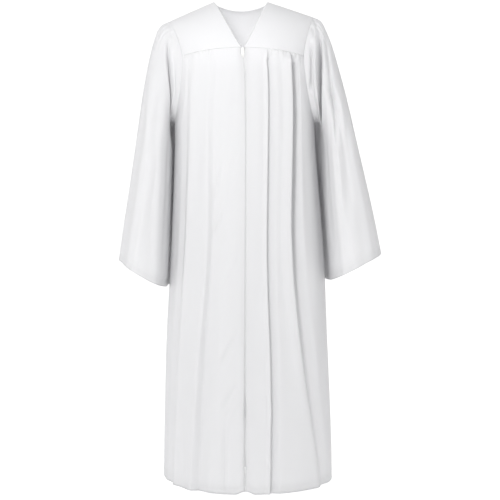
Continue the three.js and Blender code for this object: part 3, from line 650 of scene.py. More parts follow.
class PanelLayout:
    """Columns of a panel, close together at its folds and following their lines."""

    def __init__(self, folds: Sequence[Fold], face: Face, start: float, end: float, pitch: float) -> None:
        """Shares out the columns at waist height.

        Args:
            folds: Folds that lie on the panel.
            face: Front or back.
            start: First place across the cloth.
            end: Last place.
            pitch: Wanted distance between columns.
        """
        self.face = face.value
        self.start = start
        self.end = end
        waist = np.array([-676.0])
        self.folds = [fold for fold in folds if start < float(fold.at(waist)[0]) < end]
        knots = [float(knot[0]) for knot in self.knots(waist)]
        arc = float(SECTION.arc(np.array([self.face]), np.array([1.0]), waist)[0])
        widths = np.diff(knots) * arc
        self.counts = np.maximum(np.ceil(widths / pitch).astype(int), 4)
        self.total = int(self.counts.sum())
        self.edges = np.concatenate([[0], np.cumsum(self.counts)])

    def knots(self, z: Array) -> list[Array]:
        """Gives the places between which columns are evenly spaced, for each height."""
        places = [np.full_like(z, self.start)]
        for fold in self.folds:
            line = fold.at(z)
            arc = SECTION.arc(np.full_like(z, self.face), np.sign(line), z)
            places.extend(line + offset / arc for offset in fold.offsets())
        places.append(np.full_like(z, self.end))
        return places

    def place(self, u: Array, z: Array) -> Array:
        """Gives the place across the cloth.

        Args:
            u: Share of the columns, 0 to 1.
            z: Heights at the centre line.

        Returns:
            Places, -1 to 1.
        """
        column = u * self.total
        knots = np.stack(self.knots(z), axis=0)
        index = np.clip(np.searchsorted(self.edges, column + 1e-6, side="right") - 1, 0, len(self.counts) - 1)
        share = (column - self.edges[index]) / self.counts[index]
        pick = np.arange(len(column))
        return lerp(knots[index, pick], knots[index + 1, pick], share)


# ---------------------------------------------------------------- yoke


def shoulder_z(side: Array, across: Array) -> Array:
    """Gives the height of the shoulder line, and of its run on across the neck."""
    drop = np.where(side < 0, SHOULDER.drop_right, SHOULDER.drop_left)
    slope = -drop * (across - NECK.half) / (SHOULDER.half - NECK.half)
    return np.where(across >= NECK.half, slope, NECK.back_rise * (1.0 - (across / NECK.half) ** 2))


def yoke_armhole(up: Array) -> Array:
    """Gives the half width of the yoke at a share of its height."""
    return YOKE_SEAM.arm_half + (SHOULDER.half - YOKE_SEAM.arm_half) * up**SHOULDER.arm_curve


def yoke_point(face: Array, side: Array, across: Array, rise: Array) -> Array:
    """Places points of the yoke, rise 0 at the yoke seam and 1 on the shoulder line."""
    up = np.sin(rise * QUARTER)
    seam_across = across * YOKE_SEAM.arm_half / yoke_armhole(up)
    seam_z = yoke_seam_z(seam_across)
    z = seam_z + (shoulder_z(side, across) - seam_z) * up
    y = SECTION.depth(face, side, seam_across, seam_z) * np.cos(rise * QUARTER)
    return np.stack([SECTION.centre(z) + side * across, y, z], axis=-1)


def lapped(point: Array, face: float, rise: Array) -> Array:
    """Laps the lower edge of the yoke a little over the panels.

    Args:
        point: Points of the yoke.
        face: -1 on the front, 1 on the back.
        rise: Their rises.

    Returns:
        The points, moved out and down near the seam.
    """
    near = np.exp(-rise / ROBE.lap_reach)
    moved = point.copy()
    moved[..., 1] += face * ROBE.lap_out * near
    moved[..., 2] -= ROBE.lap_down * near
    return moved


# ---------------------------------------------------------------- sleeves

SLEEVE_COLUMNS = ("v", "outer_x", "outer_z", "inner_x", "inner_z", "front", "back")
SLEEVE_ROWS = {
    Side.RIGHT: (
        (0.03, -229, -62, -204, -326, 82, 82),
        (0.06, -241, -78, -208, -338, 84, 84),
        (0.14, -257.5, -128, -206, -364, 90, 92),
        (0.25, -272.5, -202, -201, -402, 98, 101),
        (0.4, -287.5, -300, -201.5, -466, 108, 112),
        (0.55, -300.5, -398, -203, -538, 118, 122),
        (0.7, -315, -498, -206, -615, 128, 132),
        (0.85, -330, -596, -209, -695, 138, 142),
        (1.0, -344, -695, -214, -773, 148, 152),
    ),
    Side.LEFT: (
        (0.03, 201, -49, 197, -325, 82, 82),
        (0.06, 213, -66, 203, -338, 84, 84),
        (0.14, 235, -120, 208, -366, 90, 92),
        (0.25, 256, -195, 210, -402, 98, 101),
        (0.4, 279, -286, 211, -462, 108, 112),
        (0.55, 301.5, -385, 213, -530, 118, 122),
        (0.7, 324.5, -484, 217, -602, 128, 132),
        (0.85, 346.5, -583, 223, -680, 138, 142),
        (1.0, 366.5, -684, 229, -757, 148, 152),
    ),
}


@dataclass(frozen=True)
class SleeveSizes:
    """How a sleeve leaves the armhole, clears the body and falls."""

    round_length: float = 680.0
    length: float = 690.0
    settle: float = 0.35
    head_depth: float = 80.0
    flatness: float = 0.85
    clearance_side: float = 6.0
    clearance_back: float = 16.0
    clearance_ease: float = 55.0
    tuck: float = 36.0
    tuck_turns: tuple[float, float, float, float] = (0.5, 0.6, 0.66, 0.8)
    tuck_from: float = 0.08
    tuck_settled: float = 0.25
    sag_right: float = 9.0
    sag_left: float = 0.0
    gather_reach: float = 4.0
    gather_height: float = 1.4
    gather_rate: float = 3.0
    gather_unevenness: float = 0.35
    gather_wobble: float = 7.3
    gather_start: float = 0.03
    gather_end: float = 0.15


SLEEVE = SleeveSizes()


@dataclass(frozen=True)
class HeadTrough:
    """The trough of a sleeve head that hangs straight down in front of the armhole.

    Attributes:
        turn: Places round the tube.
        v: Where along the sleeve it lies there.
        depth: How deep it is there.
        half: Half its width along the sleeve.
    """

    turn: tuple[float, ...]
    v: tuple[float, ...]
    depth: tuple[float, ...]
    half: float = 0.036

    def relief(self, turn: Array, v: Array) -> Array:
        """Gives the trough's height at places on the sleeve."""
        ring = 1.0 - smoothstep(np.abs(v - Curve(self.turn, self.v).at(turn)), 0.0, self.half)
        return -Curve(self.turn, self.depth).at(turn) * ring


HEAD_TROUGHS = {
    Side.RIGHT: HeadTrough((0.08, 0.135, 0.19, 0.33, 0.43, 0.49), (0.02, 0.03, 0.07, 0.073, 0.08, 0.085),
                           (0, 4, 8, 11, 9, 0)),
    Side.LEFT: HeadTrough((0.07, 0.12, 0.2, 0.31, 0.42, 0.49), (0.03, 0.055, 0.102, 0.115, 0.105, 0.09),
                          (0, 10, 18, 20, 16, 0)),
}


def rounded(path: Array) -> Array:
    """Cuts the corners of a path twice, so that a crease bends softly."""
    for _ in range(2):
        first, last = path[:-1], path[1:]
        cut = np.stack([lerp(first, last, 0.25), lerp(first, last, 0.75)], axis=1).reshape(-1, 2)
        path = np.concatenate([path[:1], cut[1:-1], path[-1:]])
    return path


@dataclass(frozen=True)
class SleeveCrease:
    """A crease laid on a sleeve through a few given places.

    Attributes:
        path: Places round the tube and along the sleeve that it runs through.
        height: Height of the ridge; below zero it is a trough.
        width: Half its width in millimetres.
    """

    path: tuple[tuple[float, float], ...]
    height: float
    width: float

    def relief(self, turn: Array, v: Array) -> Array:
        """Gives the crease's height at places on the sleeve."""
        at = np.stack([turn * SLEEVE.round_length, v * SLEEVE.length], axis=-1)
        path = rounded(np.array(self.path) * (SLEEVE.round_length, SLEEVE.length))
        lengths = np.linalg.norm(np.diff(path, axis=0), axis=1)
        total = lengths.sum()
        nearest = np.full(turn.shape, np.inf)
        along = np.zeros_like(turn)
        before = 0.0
        for start, end, length in zip(path[:-1], path[1:], lengths):
            share = np.clip((at - start) @ (end - start) / length**2, 0.0, 1.0)
            distance = np.linalg.norm(at - start - share[..., None] * (end - start), axis=-1)
            closer = distance < nearest
            nearest = np.where(closer, distance, nearest)
            along = np.where(closer, (before + share * length) / total, along)
            before += length
        ends = smoothstep(along, 0.0, 0.3) * (1.0 - smoothstep(along, 0.7, 1.0))
        return self.height * ends * np.exp(-((nearest / self.width) ** 2))


SLEEVE_CREASES = {
    Side.RIGHT: (
        SleeveCrease(((0.13, 0.02), (0.19, 0.072), (0.25, 0.085), (0.33, 0.075), (0.45, 0.066)), -10, 6),
        SleeveCrease(((0.19, 0.042), (0.27, 0.047), (0.39, 0.016)), 2.5, 8),
        SleeveCrease(((0.06, 0.003), (0.11, 0.01)), -2.5, 4),
        SleeveCrease(((0.11, 0.008), (0.14, 0.023)), -3, 4),
        SleeveCrease(((0.16, 0.004), (0.19, 0.03)), 1.6, 5),
        SleeveCrease(((0.05, 0.18), (0.15, 0.34), (0.175, 0.63)), -2, 18),
        SleeveCrease(((0.2, 0.16), (0.23, 0.3), (0.25, 0.6)), 2, 16),
        SleeveCrease(((0.62, 0.06), (0.66, 0.2), (0.68, 0.5)), -5, 12),
        SleeveCrease(((0.72, 0.04), (0.74, 0.14), (0.73, 0.4)), 4, 12),
        SleeveCrease(((0.82, 0.03), (0.84, 0.12), (0.85, 0.3)), -4, 10),
    ),
    Side.LEFT: (
        SleeveCrease(((0.11, 0.048), (0.158, 0.08), (0.2, 0.103), (0.305, 0.117), (0.44, 0.075)), -22, 6),
        SleeveCrease(((0.05, 0.06), (0.138, 0.145), (0.224, 0.24), (0.266, 0.357), (0.267, 0.47)), -8, 11),
        SleeveCrease(((0.155, 0.01), (0.206, 0.039), (0.272, 0.033), (0.34, 0.01)), -10, 5),
        SleeveCrease(((0.09, 0.01), (0.165, 0.05), (0.23, 0.08), (0.38, 0.04)), 4, 7),
        SleeveCrease(((0.07, 0.034), (0.125, 0.09), (0.208, 0.16), (0.34, 0.25), (0.37, 0.5)), 2, 16),
        SleeveCrease(((0.05, 0.001), (0.105, 0.032)), -6, 4),
        SleeveCrease(((0.105, 0.005), (0.15, 0.037)), -6, 4),
        SleeveCrease(((0.16, 0.34), (0.214, 0.55), (0.28, 0.84)), -4, 28),
        SleeveCrease(((0.62, 0.05), (0.66, 0.2), (0.67, 0.5)), -5, 12),
        SleeveCrease(((0.72, 0.03), (0.73, 0.15), (0.74, 0.42)), 4, 12),
        SleeveCrease(((0.83, 0.04), (0.84, 0.14), (0.83, 0.34)), -4, 10),
    ),
}


@dataclass(frozen=True)
class SleeveFold:
    """A fold along a sleeve.

    Attributes:
        start: Place round the tube at the armhole: 0 outer line, 0.25 front, 0.5 inner line.
        end: Place round the tube at the cuff.
        first: Where along the sleeve it starts.
        last: Where it ends.
        depth: Depth; below zero it is a ridge.
        half: Half its width round the tube.
    """

    start: float
    end: float
    first: float
    last: float
    depth: float
    half: float

    def relief(self, turn: Array, v: Array) -> Array:
        """Gives the fold's height at places on the sleeve."""
        line = lerp(self.start, self.end, v)
        across = 1.0 - smoothstep(np.abs(turn - line), 0.0, self.half)
        start = smoothstep(v, self.first, self.first + 0.15)
        along = start * (1.0 - smoothstep(v, self.last, self.last + 0.2))
        return -self.depth * across * along


SLEEVE_FOLDS = {
    Side.RIGHT: (
        SleeveFold(0.22, 0.3, 0.15, 1.0, 5, 0.06),
        SleeveFold(0.14, 0.13, 0.3, 1.0, 5, 0.05),
        SleeveFold(0.7, 0.68, 0.12, 1.0, 8, 0.055),
        SleeveFold(0.84, 0.82, 0.2, 1.0, 7, 0.055),
        SleeveFold(0.3, 0.22, 0.4, 1.0, -2.5, 0.03),
        SleeveFold(0.07, 0.08, 0.35, 0.9, -2.0, 0.03),
        SleeveFold(0.38, 0.4, 0.2, 0.8, 2.5, 0.03),
        SleeveFold(0.62, 0.6, 0.3, 1.0, -2.5, 0.03),
        SleeveFold(0.77, 0.75, 0.4, 1.0, -2.5, 0.03),
        SleeveFold(0.92, 0.93, 0.3, 0.9, 2.5, 0.03),
    ),
    Side.LEFT: (
        SleeveFold(0.2, 0.27, 0.1, 0.62, 8, 0.045),
        SleeveFold(0.17, 0.22, 0.38, 1.0, 6, 0.06),
        SleeveFold(0.7, 0.67, 0.12, 1.0, 8, 0.055),
        SleeveFold(0.84, 0.83, 0.2, 1.0, 7, 0.055),
        SleeveFold(0.1, 0.12, 0.3, 1.0, -2.5, 0.035),
        SleeveFold(0.3, 0.34, 0.3, 1.0, -2.5, 0.03),
        SleeveFold(0.38, 0.4, 0.15, 0.7, 2.5, 0.03),
        SleeveFold(0.61, 0.6, 0.4, 1.0, -2.5, 0.03),
        SleeveFold(0.76, 0.75, 0.3, 1.0, -2.5, 0.03),
        SleeveFold(0.93, 0.92, 0.4, 0.9, 2.5, 0.03),
    ),
}


class SleeveSurface:
    """Surface of one sleeve, from its armhole seam to its cuff."""

    def __init__(self, side: Side) -> None:
        """Finds the sleeve's head on the armhole.

        Args:
            side: The wearer's side.
        """
        self.side = side
        self.last_step = float(ROBE.yoke_rows + ROBE.arm_rows)
        top, under = self.armhole(np.array([0.0, self.last_step]))
        first = (0.0, top[0], top[2], under[0], under[2], SLEEVE.head_depth, SLEEVE.head_depth)
        self.head = first
        self.curves = table_curves(SLEEVE_COLUMNS, (first, *SLEEVE_ROWS[side]))

    def armhole(self, step: Array) -> Array:
        """Gives the armhole seam at steps from the shoulder tip, front above zero."""
        side = np.full_like(step, float(self.side.value))
        face = np.where(step >= 0, -1.0, 1.0)
        count = np.abs(step)
        rise = np.clip(1.0 - count / ROBE.yoke_rows, 0.0, 1.0)
        yoke = yoke_point(face, side, yoke_armhole(np.sin(rise * QUARTER)), rise)
        panel = panel_point((), (), face, side, side, np.maximum(count - ROBE.yoke_rows, 0.0))
        return np.where((count <= ROBE.yoke_rows)[..., None], yoke, panel)

    def oval(self, v: Array, turn: Array) -> Array:
        """Gives the plain oval ring of the sleeve."""
        at = {name: curve.at(v) for name, curve in self.curves.items()}
        across = np.cos(turn * 2.0 * math.pi)
        deep = np.sin(turn * 2.0 * math.pi)
        across = np.sign(across) * np.abs(across) ** SLEEVE.flatness
        deep = np.sign(deep) * np.abs(deep) ** SLEEVE.flatness
        mix = (1.0 + across) / 2.0
        depth = np.where(turn < 0.5, at["front"], at["back"])
        x = lerp(at["inner_x"], at["outer_x"], mix)
        z = lerp(at["inner_z"], at["outer_z"], mix)
        return np.stack([x, -depth * deep, z], axis=-1)

    def relief(self, step: Array, turn: Array, v: Array) -> Array:
        """Adds up the folds, the trough of the head and its gathers."""
        height = np.zeros_like(turn)
        for fold in SLEEVE_FOLDS[self.side]:
            height = height + fold.relief(turn, v)
        height = height + HEAD_TROUGHS[self.side].relief(turn, v)
        for crease in SLEEVE_CREASES[self.side]:
            height = height + crease.relief(turn, v)
        gather = np.cos(step * SLEEVE.gather_rate * math.pi)
        uneven = 1.0 + SLEEVE.gather_unevenness * np.sin(step * SLEEVE.gather_wobble)
        reach = 1.0 - smoothstep(np.abs(step), SLEEVE.gather_reach - 1.0, SLEEVE.gather_reach)
        fall = smoothstep(v, 0.0, SLEEVE.gather_start)
        fall = fall * (1.0 - smoothstep(v, SLEEVE.gather_start, SLEEVE.gather_end))
        return height + SLEEVE.gather_height * gather * uneven * reach * fall

    def point(self, step: Array, v: Array) -> Array:
        """Places points of the sleeve.

        Args:
            step: Place along the armhole seam.
            v: Share of the way from the armhole to the cuff.

        Returns:
            Points in millimetres.
        """
        side = float(self.side.value)
        seam = self.armhole(step)
        _, _, outer_z, _, inner_z, _, _ = self.head
        cosine = np.clip((seam[..., 2] - (outer_z + inner_z) / 2.0) / ((outer_z - inner_z) / 2.0), -1.0, 1.0)
        angle = np.arccos(cosine) / (2.0 * math.pi)
        turn = np.where(step >= 0, angle, 1.0 - angle)
        settle = 1.0 - smoothstep(v, 0.0, SLEEVE.settle)
        point = self.oval(v, turn) + (seam - self.oval(np.zeros_like(v), turn)) * settle[..., None]
        middle_x = (self.curves["outer_x"].at(v) + self.curves["inner_x"].at(v)) / 2.0
        out_x = point[..., 0] - middle_x
        out_y = point[..., 1]
        length = np.maximum(np.hypot(out_x, out_y), 1e-9)
        height = self.relief(step, turn, v) / length
        x = point[..., 0] + out_x * height
        y = point[..., 1] + out_y * height
        first, full, ease, last = SLEEVE.tuck_turns
        tuck = smoothstep(turn, first, full) * (1.0 - smoothstep(turn, ease, last))
        x = x - side * SLEEVE.tuck * tuck * smoothstep(v, SLEEVE.tuck_from, SLEEVE.tuck_settled)
        sag = SLEEVE.sag_right if self.side is Side.RIGHT else SLEEVE.sag_left
        z = point[..., 2] - sag * v * np.maximum(np.sin(turn * 2.0 * math.pi), 0.0)
        centre = SECTION.centre(z)
        behind = smoothstep(y, 0.0, SLEEVE.clearance_ease)
        clearance = lerp(SLEEVE.clearance_side, SLEEVE.clearance_back, behind)
        nearest = SECTION.half(np.full_like(y, side), y, z) + clearance
        cleared = centre + side * np.maximum(side * (x - centre), nearest)
        x = np.where(z < ROBE.underarm_z, cleared, x)
        return np.stack([x, y, z], axis=-1)


# ---------------------------------------------------------------- materials


def srgb(code: str) -> tuple[float, float, float, float]:
    """Turns a hex colour into the linear colour that shaders take.

    Args:
        code: Six hex digits.

    Returns:
        Red, green, blue and alpha.
    """
    parts = [int(code[place:place + 2], 16) / 255.0 for place in (0, 2, 4)]
    linear = [part / 12.92 if part <= 0.04045 else ((part + 0.055) / 1.055) ** 2.4 for part in parts]
    return linear[0], linear[1], linear[2], 1.0


@dataclass(frozen=True)
class Finish:
    """Look of one material.

    Attributes:
        name: What the material is.
        colour: Its sRGB colour in hex.
        roughness: How dull it is.
        sheen: Soft light at grazing angles.
        metallic: 1 for bare metal.
        thread_pitch: Distance between threads in metres, or 0 for no weave.
        crumple: Depth of the small unevenness of hung cloth, in metres.
        glow: Share of light that passes through the cloth.
    """

    name: str
    colour: str
    roughness: float
    sheen: float = 0.0
    metallic: float = 0.0
    thread_pitch: float = 0.0
    crumple: float = 0.0
    glow: float = 0.0


class Finishes(Enum):
    """The materials of the robe."""

    # Matte white polyester: soft even white, faint sheen at grazing angles.
    CLOTH = Finish("white polyester cloth", "EAEAEB", 0.86, sheen=0.06, thread_pitch=0.0004,
                   crumple=0.0009, glow=0.37)
    # Spun polyester thread, the cloth's white, a little brighter where it catches light.
    THREAD = Finish("white sewing thread", "F2F2F2", 0.6, sheen=0.2)
    # Woven zip tape, slightly warmer and denser than the cloth.
    TAPE = Finish("white zip tape", "F0F0EE", 0.8, sheen=0.1, thread_pitch=0.0006)
    # Moulded nylon coil, smooth and slightly shiny.
    COIL = Finish("white nylon coil", "F3F3F1", 0.35)
    # Enamelled metal of the slider and the tab, smooth white gloss.
    ENAMEL = Finish("white enamel", "F1F1EF", 0.28)


def add_node(tree: bpy.types.NodeTree, kind: str, inputs: dict | None = None,
             links: dict | None = None, **settings: object) -> bpy.types.Node:
    """Adds a node with its settings, input values and links.

    Args:
        tree: The node tree.
        kind: Node type.
        inputs: Values by socket name or number.
        links: Output sockets to link, by input name or number.
        settings: The node's own settings.

    Returns:
        The node.
    """
    made = tree.nodes.new(kind)
    for name, value in settings.items():
        setattr(made, name, value)
    for name, value in (inputs or {}).items():
        made.inputs[name].default_value = value
    for name, output in (links or {}).items():
        tree.links.new(output, made.inputs[name])
    return made


class MaterialMaker:
    """Builds node materials from finishes."""

    def __init__(self) -> None:
        """Starts with none made."""
        self.made: dict[str, bpy.types.Material] = {}

    def weave(self, tree: bpy.types.NodeTree, finish: Finish) -> bpy.types.NodeSocket:
        """Adds the cloth's unevenness and its plain weave as bumps.

        Args:
            tree: The material's node tree.
            finish: The finish.

        Returns:
            The normal to shade with.
        """
        uv = add_node(tree, "ShaderNodeUVMap", uv_map="cloth").outputs["UV"]
        stretch = add_node(tree, "ShaderNodeMapping", {"Scale": (1.0, 0.28, 1.0)}, {"Vector": uv})
        noise = add_node(tree, "ShaderNodeTexNoise", {"Scale": 34.0, "Detail": 3.0, "Roughness": 0.5},
                         {"Vector": stretch.outputs["Vector"]})
        uneven = add_node(tree, "ShaderNodeBump", {"Strength": 1.0, "Distance": finish.crumple},
                          {"Height": noise.outputs["Fac"]})
        # The wave texture repeats 20 times in a unit at scale 1.
        scale = 1.0 / (finish.thread_pitch * 20.0)
        threads = [
            add_node(tree, "ShaderNodeTexWave", {"Scale": scale}, {"Vector": uv}, bands_direction=direction)
            for direction in ("X", "Y")
        ]
        both = add_node(tree, "ShaderNodeMath", None,
                        {0: threads[0].outputs["Fac"], 1: threads[1].outputs["Fac"]}, operation="ADD")
        bump = add_node(tree, "ShaderNodeBump", {"Strength": 0.12, "Distance": finish.thread_pitch * 0.2},
                        {"Height": both.outputs["Value"], "Normal": uneven.outputs["Normal"]})
        return bump.outputs["Normal"]

    def make(self, choice: Finishes) -> bpy.types.Material:
        """Builds a finish's material once and returns it.

        Args:
            choice: The finish.

        Returns:
            The material.
        """
        finish = choice.value
        if finish.name in self.made:
            return self.made[finish.name]
        material = bpy.data.materials.new(finish.name)
        material.use_nodes = True
        tree = material.node_tree
        tree.nodes.clear()
        shade = add_node(tree, "ShaderNodeBsdfPrincipled", {
            "Base Color": srgb(finish.colour), "Roughness": finish.roughness,
            "Metallic": finish.metallic, "Sheen Weight": finish.sheen,
        })
        output = tree.nodes.new("ShaderNodeOutputMaterial")
        if finish.thread_pitch:
            normal = self.weave(tree, finish)
            tree.links.new(normal, shade.inputs["Normal"])
        if finish.glow:
            through = add_node(tree, "ShaderNodeBsdfTranslucent", {"Color": srgb(finish.colour)})
            mix = add_node(tree, "ShaderNodeMixShader", {"Fac": finish.glow},
                           {1: shade.outputs["BSDF"], 2: through.outputs["BSDF"]})
            tree.links.new(mix.outputs["Shader"], output.inputs["Surface"])
        else:
            tree.links.new(shade.outputs["BSDF"], output.inputs["Surface"])
        self.made[finish.name] = material
        return material


# ---------------------------------------------------------------- mesh building


class PieceMaker:
    """Turns surfaces and solids into finished pieces on the frame."""

    def __init__(self, materials: MaterialMaker) -> None:
        """Keeps the material maker.

        Args:
            materials: Source of materials.
        """
        self.materials = materials

    def finish(self, name: str, mesh: bpy.types.Mesh, finish: Finishes, slot: Slot, body: Body,
               nodes: Sequence[str] = ()) -> bpy.types.Object:
        """Adds a mesh to the scene as a piece of the object.

        Args:
            name: Name of the piece.
            mesh: Its mesh, in metres in the robe's frame.
            finish: Its look.
            slot: Its slot in the record; not used.
            body: The body that it rides on.
            nodes: Solids that it stands for.

        Returns:
            The object.
        """
        piece = bpy.data.objects.new(name, mesh)
        bpy.context.scene.collection.objects.link(piece)
        mesh.materials.append(self.materials.make(finish))
        for polygon in mesh.polygons:
            polygon.use_smooth = True
        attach(piece, body.value)
        if nodes:
            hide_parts(*nodes)
        return piece

    def shell(self, name: str, surface: Surface, columns: int, rows: int, closed: bool,
              outward: int) -> bpy.types.Mesh:
        """Lays a grid on a surface.

        Args:
            name: Name of the mesh.
            surface: Gives points in millimetres from shares across and down.
            columns: Spaces across.
            rows: Spaces down.
            closed: Whether the last column meets the first.
            outward: 1 where the grid's own normals face out, else -1.

        Returns:
            The mesh, in metres, with the cloth's own lengths as its UV.
        """
        form = bmesh.new()
        bmesh.ops.create_grid(form, x_segments=columns, y_segments=rows, size=0.5)
        form.verts.ensure_lookup_table()
        flat = np.array([vert.co[:2] for vert in form.verts]) + 0.5
        u = flat[:, 0]
        v = 1.0 - flat[:, 1]
        points = surface(u, v) * MM
        cloth = self.cloth_lengths(points, u, v, columns, rows)
        layer = form.loops.layers.uv.new("cloth")
        for face in form.faces:
            for loop in face.loops:
                loop[layer].uv = cloth[loop.vert.index]
        for vert, point in zip(form.verts, points):
            vert.co = point
        if closed:
            bmesh.ops.remove_doubles(form, verts=form.verts, dist=1e-6)
        if outward < 0:
            bmesh.ops.reverse_faces(form, faces=form.faces)
        mesh = bpy.data.meshes.new(name)
        form.to_mesh(mesh)
        form.free()
        return mesh

    @staticmethod
    def cloth_lengths(points: Array, u: Array, v: Array, columns: int, rows: int) -> Array:
        """Measures the cloth along its middle row and column, for its UV.

        Args:
            points: Grid points in metres.
            u: Shares across.
            v: Shares down.
            columns: Spaces across.
            rows: Spaces down.

        Returns:
            Two lengths in metres for each point.
        """
        order = np.lexsort((np.round(u * columns), np.round(v * rows)))
        grid = points[order].reshape(rows + 1, columns + 1, 3)
        low = grid[int(rows * 0.8)]
        middle = grid[:, columns // 2]
        across = np.concatenate([[0.0], np.cumsum(np.linalg.norm(np.diff(low, axis=0), axis=1))])
        down = np.concatenate([[0.0], np.cumsum(np.linalg.norm(np.diff(middle, axis=0), axis=1))])
        column = np.round(u * columns).astype(int)
        row = np.round(v * rows).astype(int)
        return np.stack([across[column], -down[row]], axis=-1)

    def thicken(self, piece: bpy.types.Object, thickness: float) -> None:
        """Gives a shell its thickness on both sides of its middle surface.

        Args:
            piece: The shell.
            thickness: In millimetres.
        """
        solid = piece.modifiers.new("cloth thickness", "SOLIDIFY")
        solid.thickness = thickness * MM
        solid.offset = 0.0
        solid.use_even_offset = False


# ---------------------------------------------------------------- pieces of cloth


@dataclass(frozen=True)
class Cut:
    """Flat cut of a piece of cloth.

    Attributes:
        width: Across, in metres; all round on a tube.
        length: Down, in metres.
        area: Flat area in square metres.
        held: How it is held.
    """

    width: float
    length: float
    area: float
    held: str


@dataclass
class ClothPiece:
    """A piece of cloth of the robe.

    Attributes:
        node: Its solid.
        surface: Gives its points.
        columns: Grid spaces across.
        rows: Grid spaces down.
        cut: Its flat cut.
        closed: Whether it is a tube.
        outward: 1 where the grid's own normals face out, else -1.
    """

    node: str
    surface: Surface
    columns: int
    rows: int
    cut: Cut
    closed: bool = False
    outward: int = 1


class Panels:
    """The two fronts and the back."""

    PITCH = 2.2
    BACK_PITCH = 3.5
    ROWS = 225

    def __init__(self) -> None:
        """Lays out the columns of the panels."""
        self.front = {
            Side.RIGHT: PanelLayout(FRONT_FOLDS, Face.FRONT, -1.0, 0.0, self.PITCH),
            Side.LEFT: PanelLayout(FRONT_FOLDS, Face.FRONT, 0.0, 1.0, self.PITCH),
        }
        self.back = PanelLayout(BACK_FOLDS, Face.BACK, -1.0, 1.0, self.BACK_PITCH)

    def front_surface(self, side: Side) -> Surface:
        """Gives the surface of one front."""
        layout = self.front[side]

        def surface(u: Array, v: Array) -> Array:
            """Gives points of the surface at shares across and down."""
            step = v * (ROBE.arm_rows + ROBE.skirt_rows)
            place = layout.place(u, row_height(step))
            ones = np.ones_like(place)
            return panel_point(FRONT_FOLDS, FRONT_CREASES, -ones, ones * side.value, place, step)

        return surface

    def back_surface(self) -> Surface:
        """Gives the surface of the back."""
        layout = self.back

        def surface(u: Array, v: Array) -> Array:
            """Gives points of the surface at shares across and down."""
            step = v * (ROBE.arm_rows + ROBE.skirt_rows)
            place = layout.place(u, row_height(step))
            side = np.where(place < 0, -1.0, 1.0)
            return panel_point(BACK_FOLDS, BACK_CREASES, np.ones_like(place), side, place, step)

        return surface

    def pieces(self) -> list[ClothPiece]:
        """Gives the three panels."""
        right, left = self.front[Side.RIGHT], self.front[Side.LEFT]
        return [
            ClothPiece("front_right", self.front_surface(Side.RIGHT), right.total, self.ROWS,
                       Cut(0.37, 1.17, 0.36, "hung")),
            ClothPiece("front_left", self.front_surface(Side.LEFT), left.total, self.ROWS,
                       Cut(0.4, 1.17, 0.39, "hung")),
            ClothPiece("back", self.back_surface(), self.back.total, self.ROWS,
                       Cut(0.86, 1.17, 0.85, "hung"), outward=-1),
        ]


class Yoke:
    """The three pieces of the yoke."""

    COLUMNS = 90
    ROWS = 70

    @staticmethod
    def front_surface(side: Side) -> Surface:
        """Gives the surface of one front yoke, from its shoulder seam down."""

        def surface(u: Array, v: Array) -> Array:
            """Gives points of the surface at shares across and down."""
            rise = 1.0 - v
            up = np.sin(rise * QUARTER)
            neck = lerp(NECK.point_half, NECK.half, up**NECK.curve)
            share = 1.0 - u if side is Side.RIGHT else u
            ones = np.ones_like(u)
            point = yoke_point(-ones, ones * side.value, lerp(neck, yoke_armhole(up), share), rise)
            return lapped(point, -1.0, rise)

        return surface

    @staticmethod
    def back_surface(u: Array, v: Array) -> Array:
        """Gives the surface of the back yoke, from its neckline and shoulder seams down."""
        count = np.abs(u - 0.5) * 2.0
        neck_share = np.minimum(count * 3.0, 1.0)
        shoulder_share = np.maximum(count * 3.0 - 1.0, 0.0) / 2.0
        cut = np.sqrt(np.maximum(1.0 - neck_share**2, 0.0))
        rise = (1.0 - NECK.back_cut * cut) * (1.0 - v)
        arm = yoke_armhole(np.sin(rise * QUARTER))
        neck = neck_share * NECK.half * arm / SHOULDER.half
        side = np.where(u < 0.5, -1.0, 1.0)
        point = yoke_point(np.ones_like(u), side, lerp(neck, arm, shoulder_share), rise)
        return lapped(point, 1.0, rise)

    def pieces(self) -> list[ClothPiece]:
        """Gives the three yoke pieces."""
        return [
            ClothPiece("yoke_front_right", self.front_surface(Side.RIGHT), self.COLUMNS, self.ROWS,
                       Cut(0.2, 0.2, 0.026, "stretched")),
            ClothPiece("yoke_front_left", self.front_surface(Side.LEFT), self.COLUMNS, self.ROWS,
                       Cut(0.2, 0.2, 0.026, "stretched")),
            ClothPiece("yoke_back", self.back_surface, self.COLUMNS * 2, self.ROWS,
                       Cut(0.41, 0.2, 0.066, "stretched"), outward=-1),
        ]


class Sleeves:
    """The two sleeves."""

    COLUMNS = 190
    ROWS = 200

    def __init__(self) -> None:
        """Makes the two surfaces."""
        self.surfaces = {side: SleeveSurface(side) for side in Side}

    def surface(self, side: Side) -> Surface:
        """Gives the surface of one sleeve."""
        sleeve = self.surfaces[side]

        def surface(u: Array, v: Array) -> Array:
            """Gives points of the surface at shares across and down."""
            closed = np.where(u > 1.0 - 1e-6, 0.0, u)
            step = (closed * 2.0 - 1.0) * sleeve.last_step
            return sleeve.point(step, v**1.25)

        return surface

    def pieces(self) -> list[ClothPiece]:
        """Gives the two sleeves."""
        return [
            ClothPiece("sleeve_right", self.surface(Side.RIGHT), self.COLUMNS, self.ROWS,
                       Cut(0.72, 0.68, 0.345, "gathered"), closed=True),
            ClothPiece("sleeve_left", self.surface(Side.LEFT), self.COLUMNS, self.ROWS,
                       Cut(0.72, 0.68, 0.345, "gathered"), closed=True, outward=-1),
        ]


# ---------------------------------------------------------------- edges and stitches


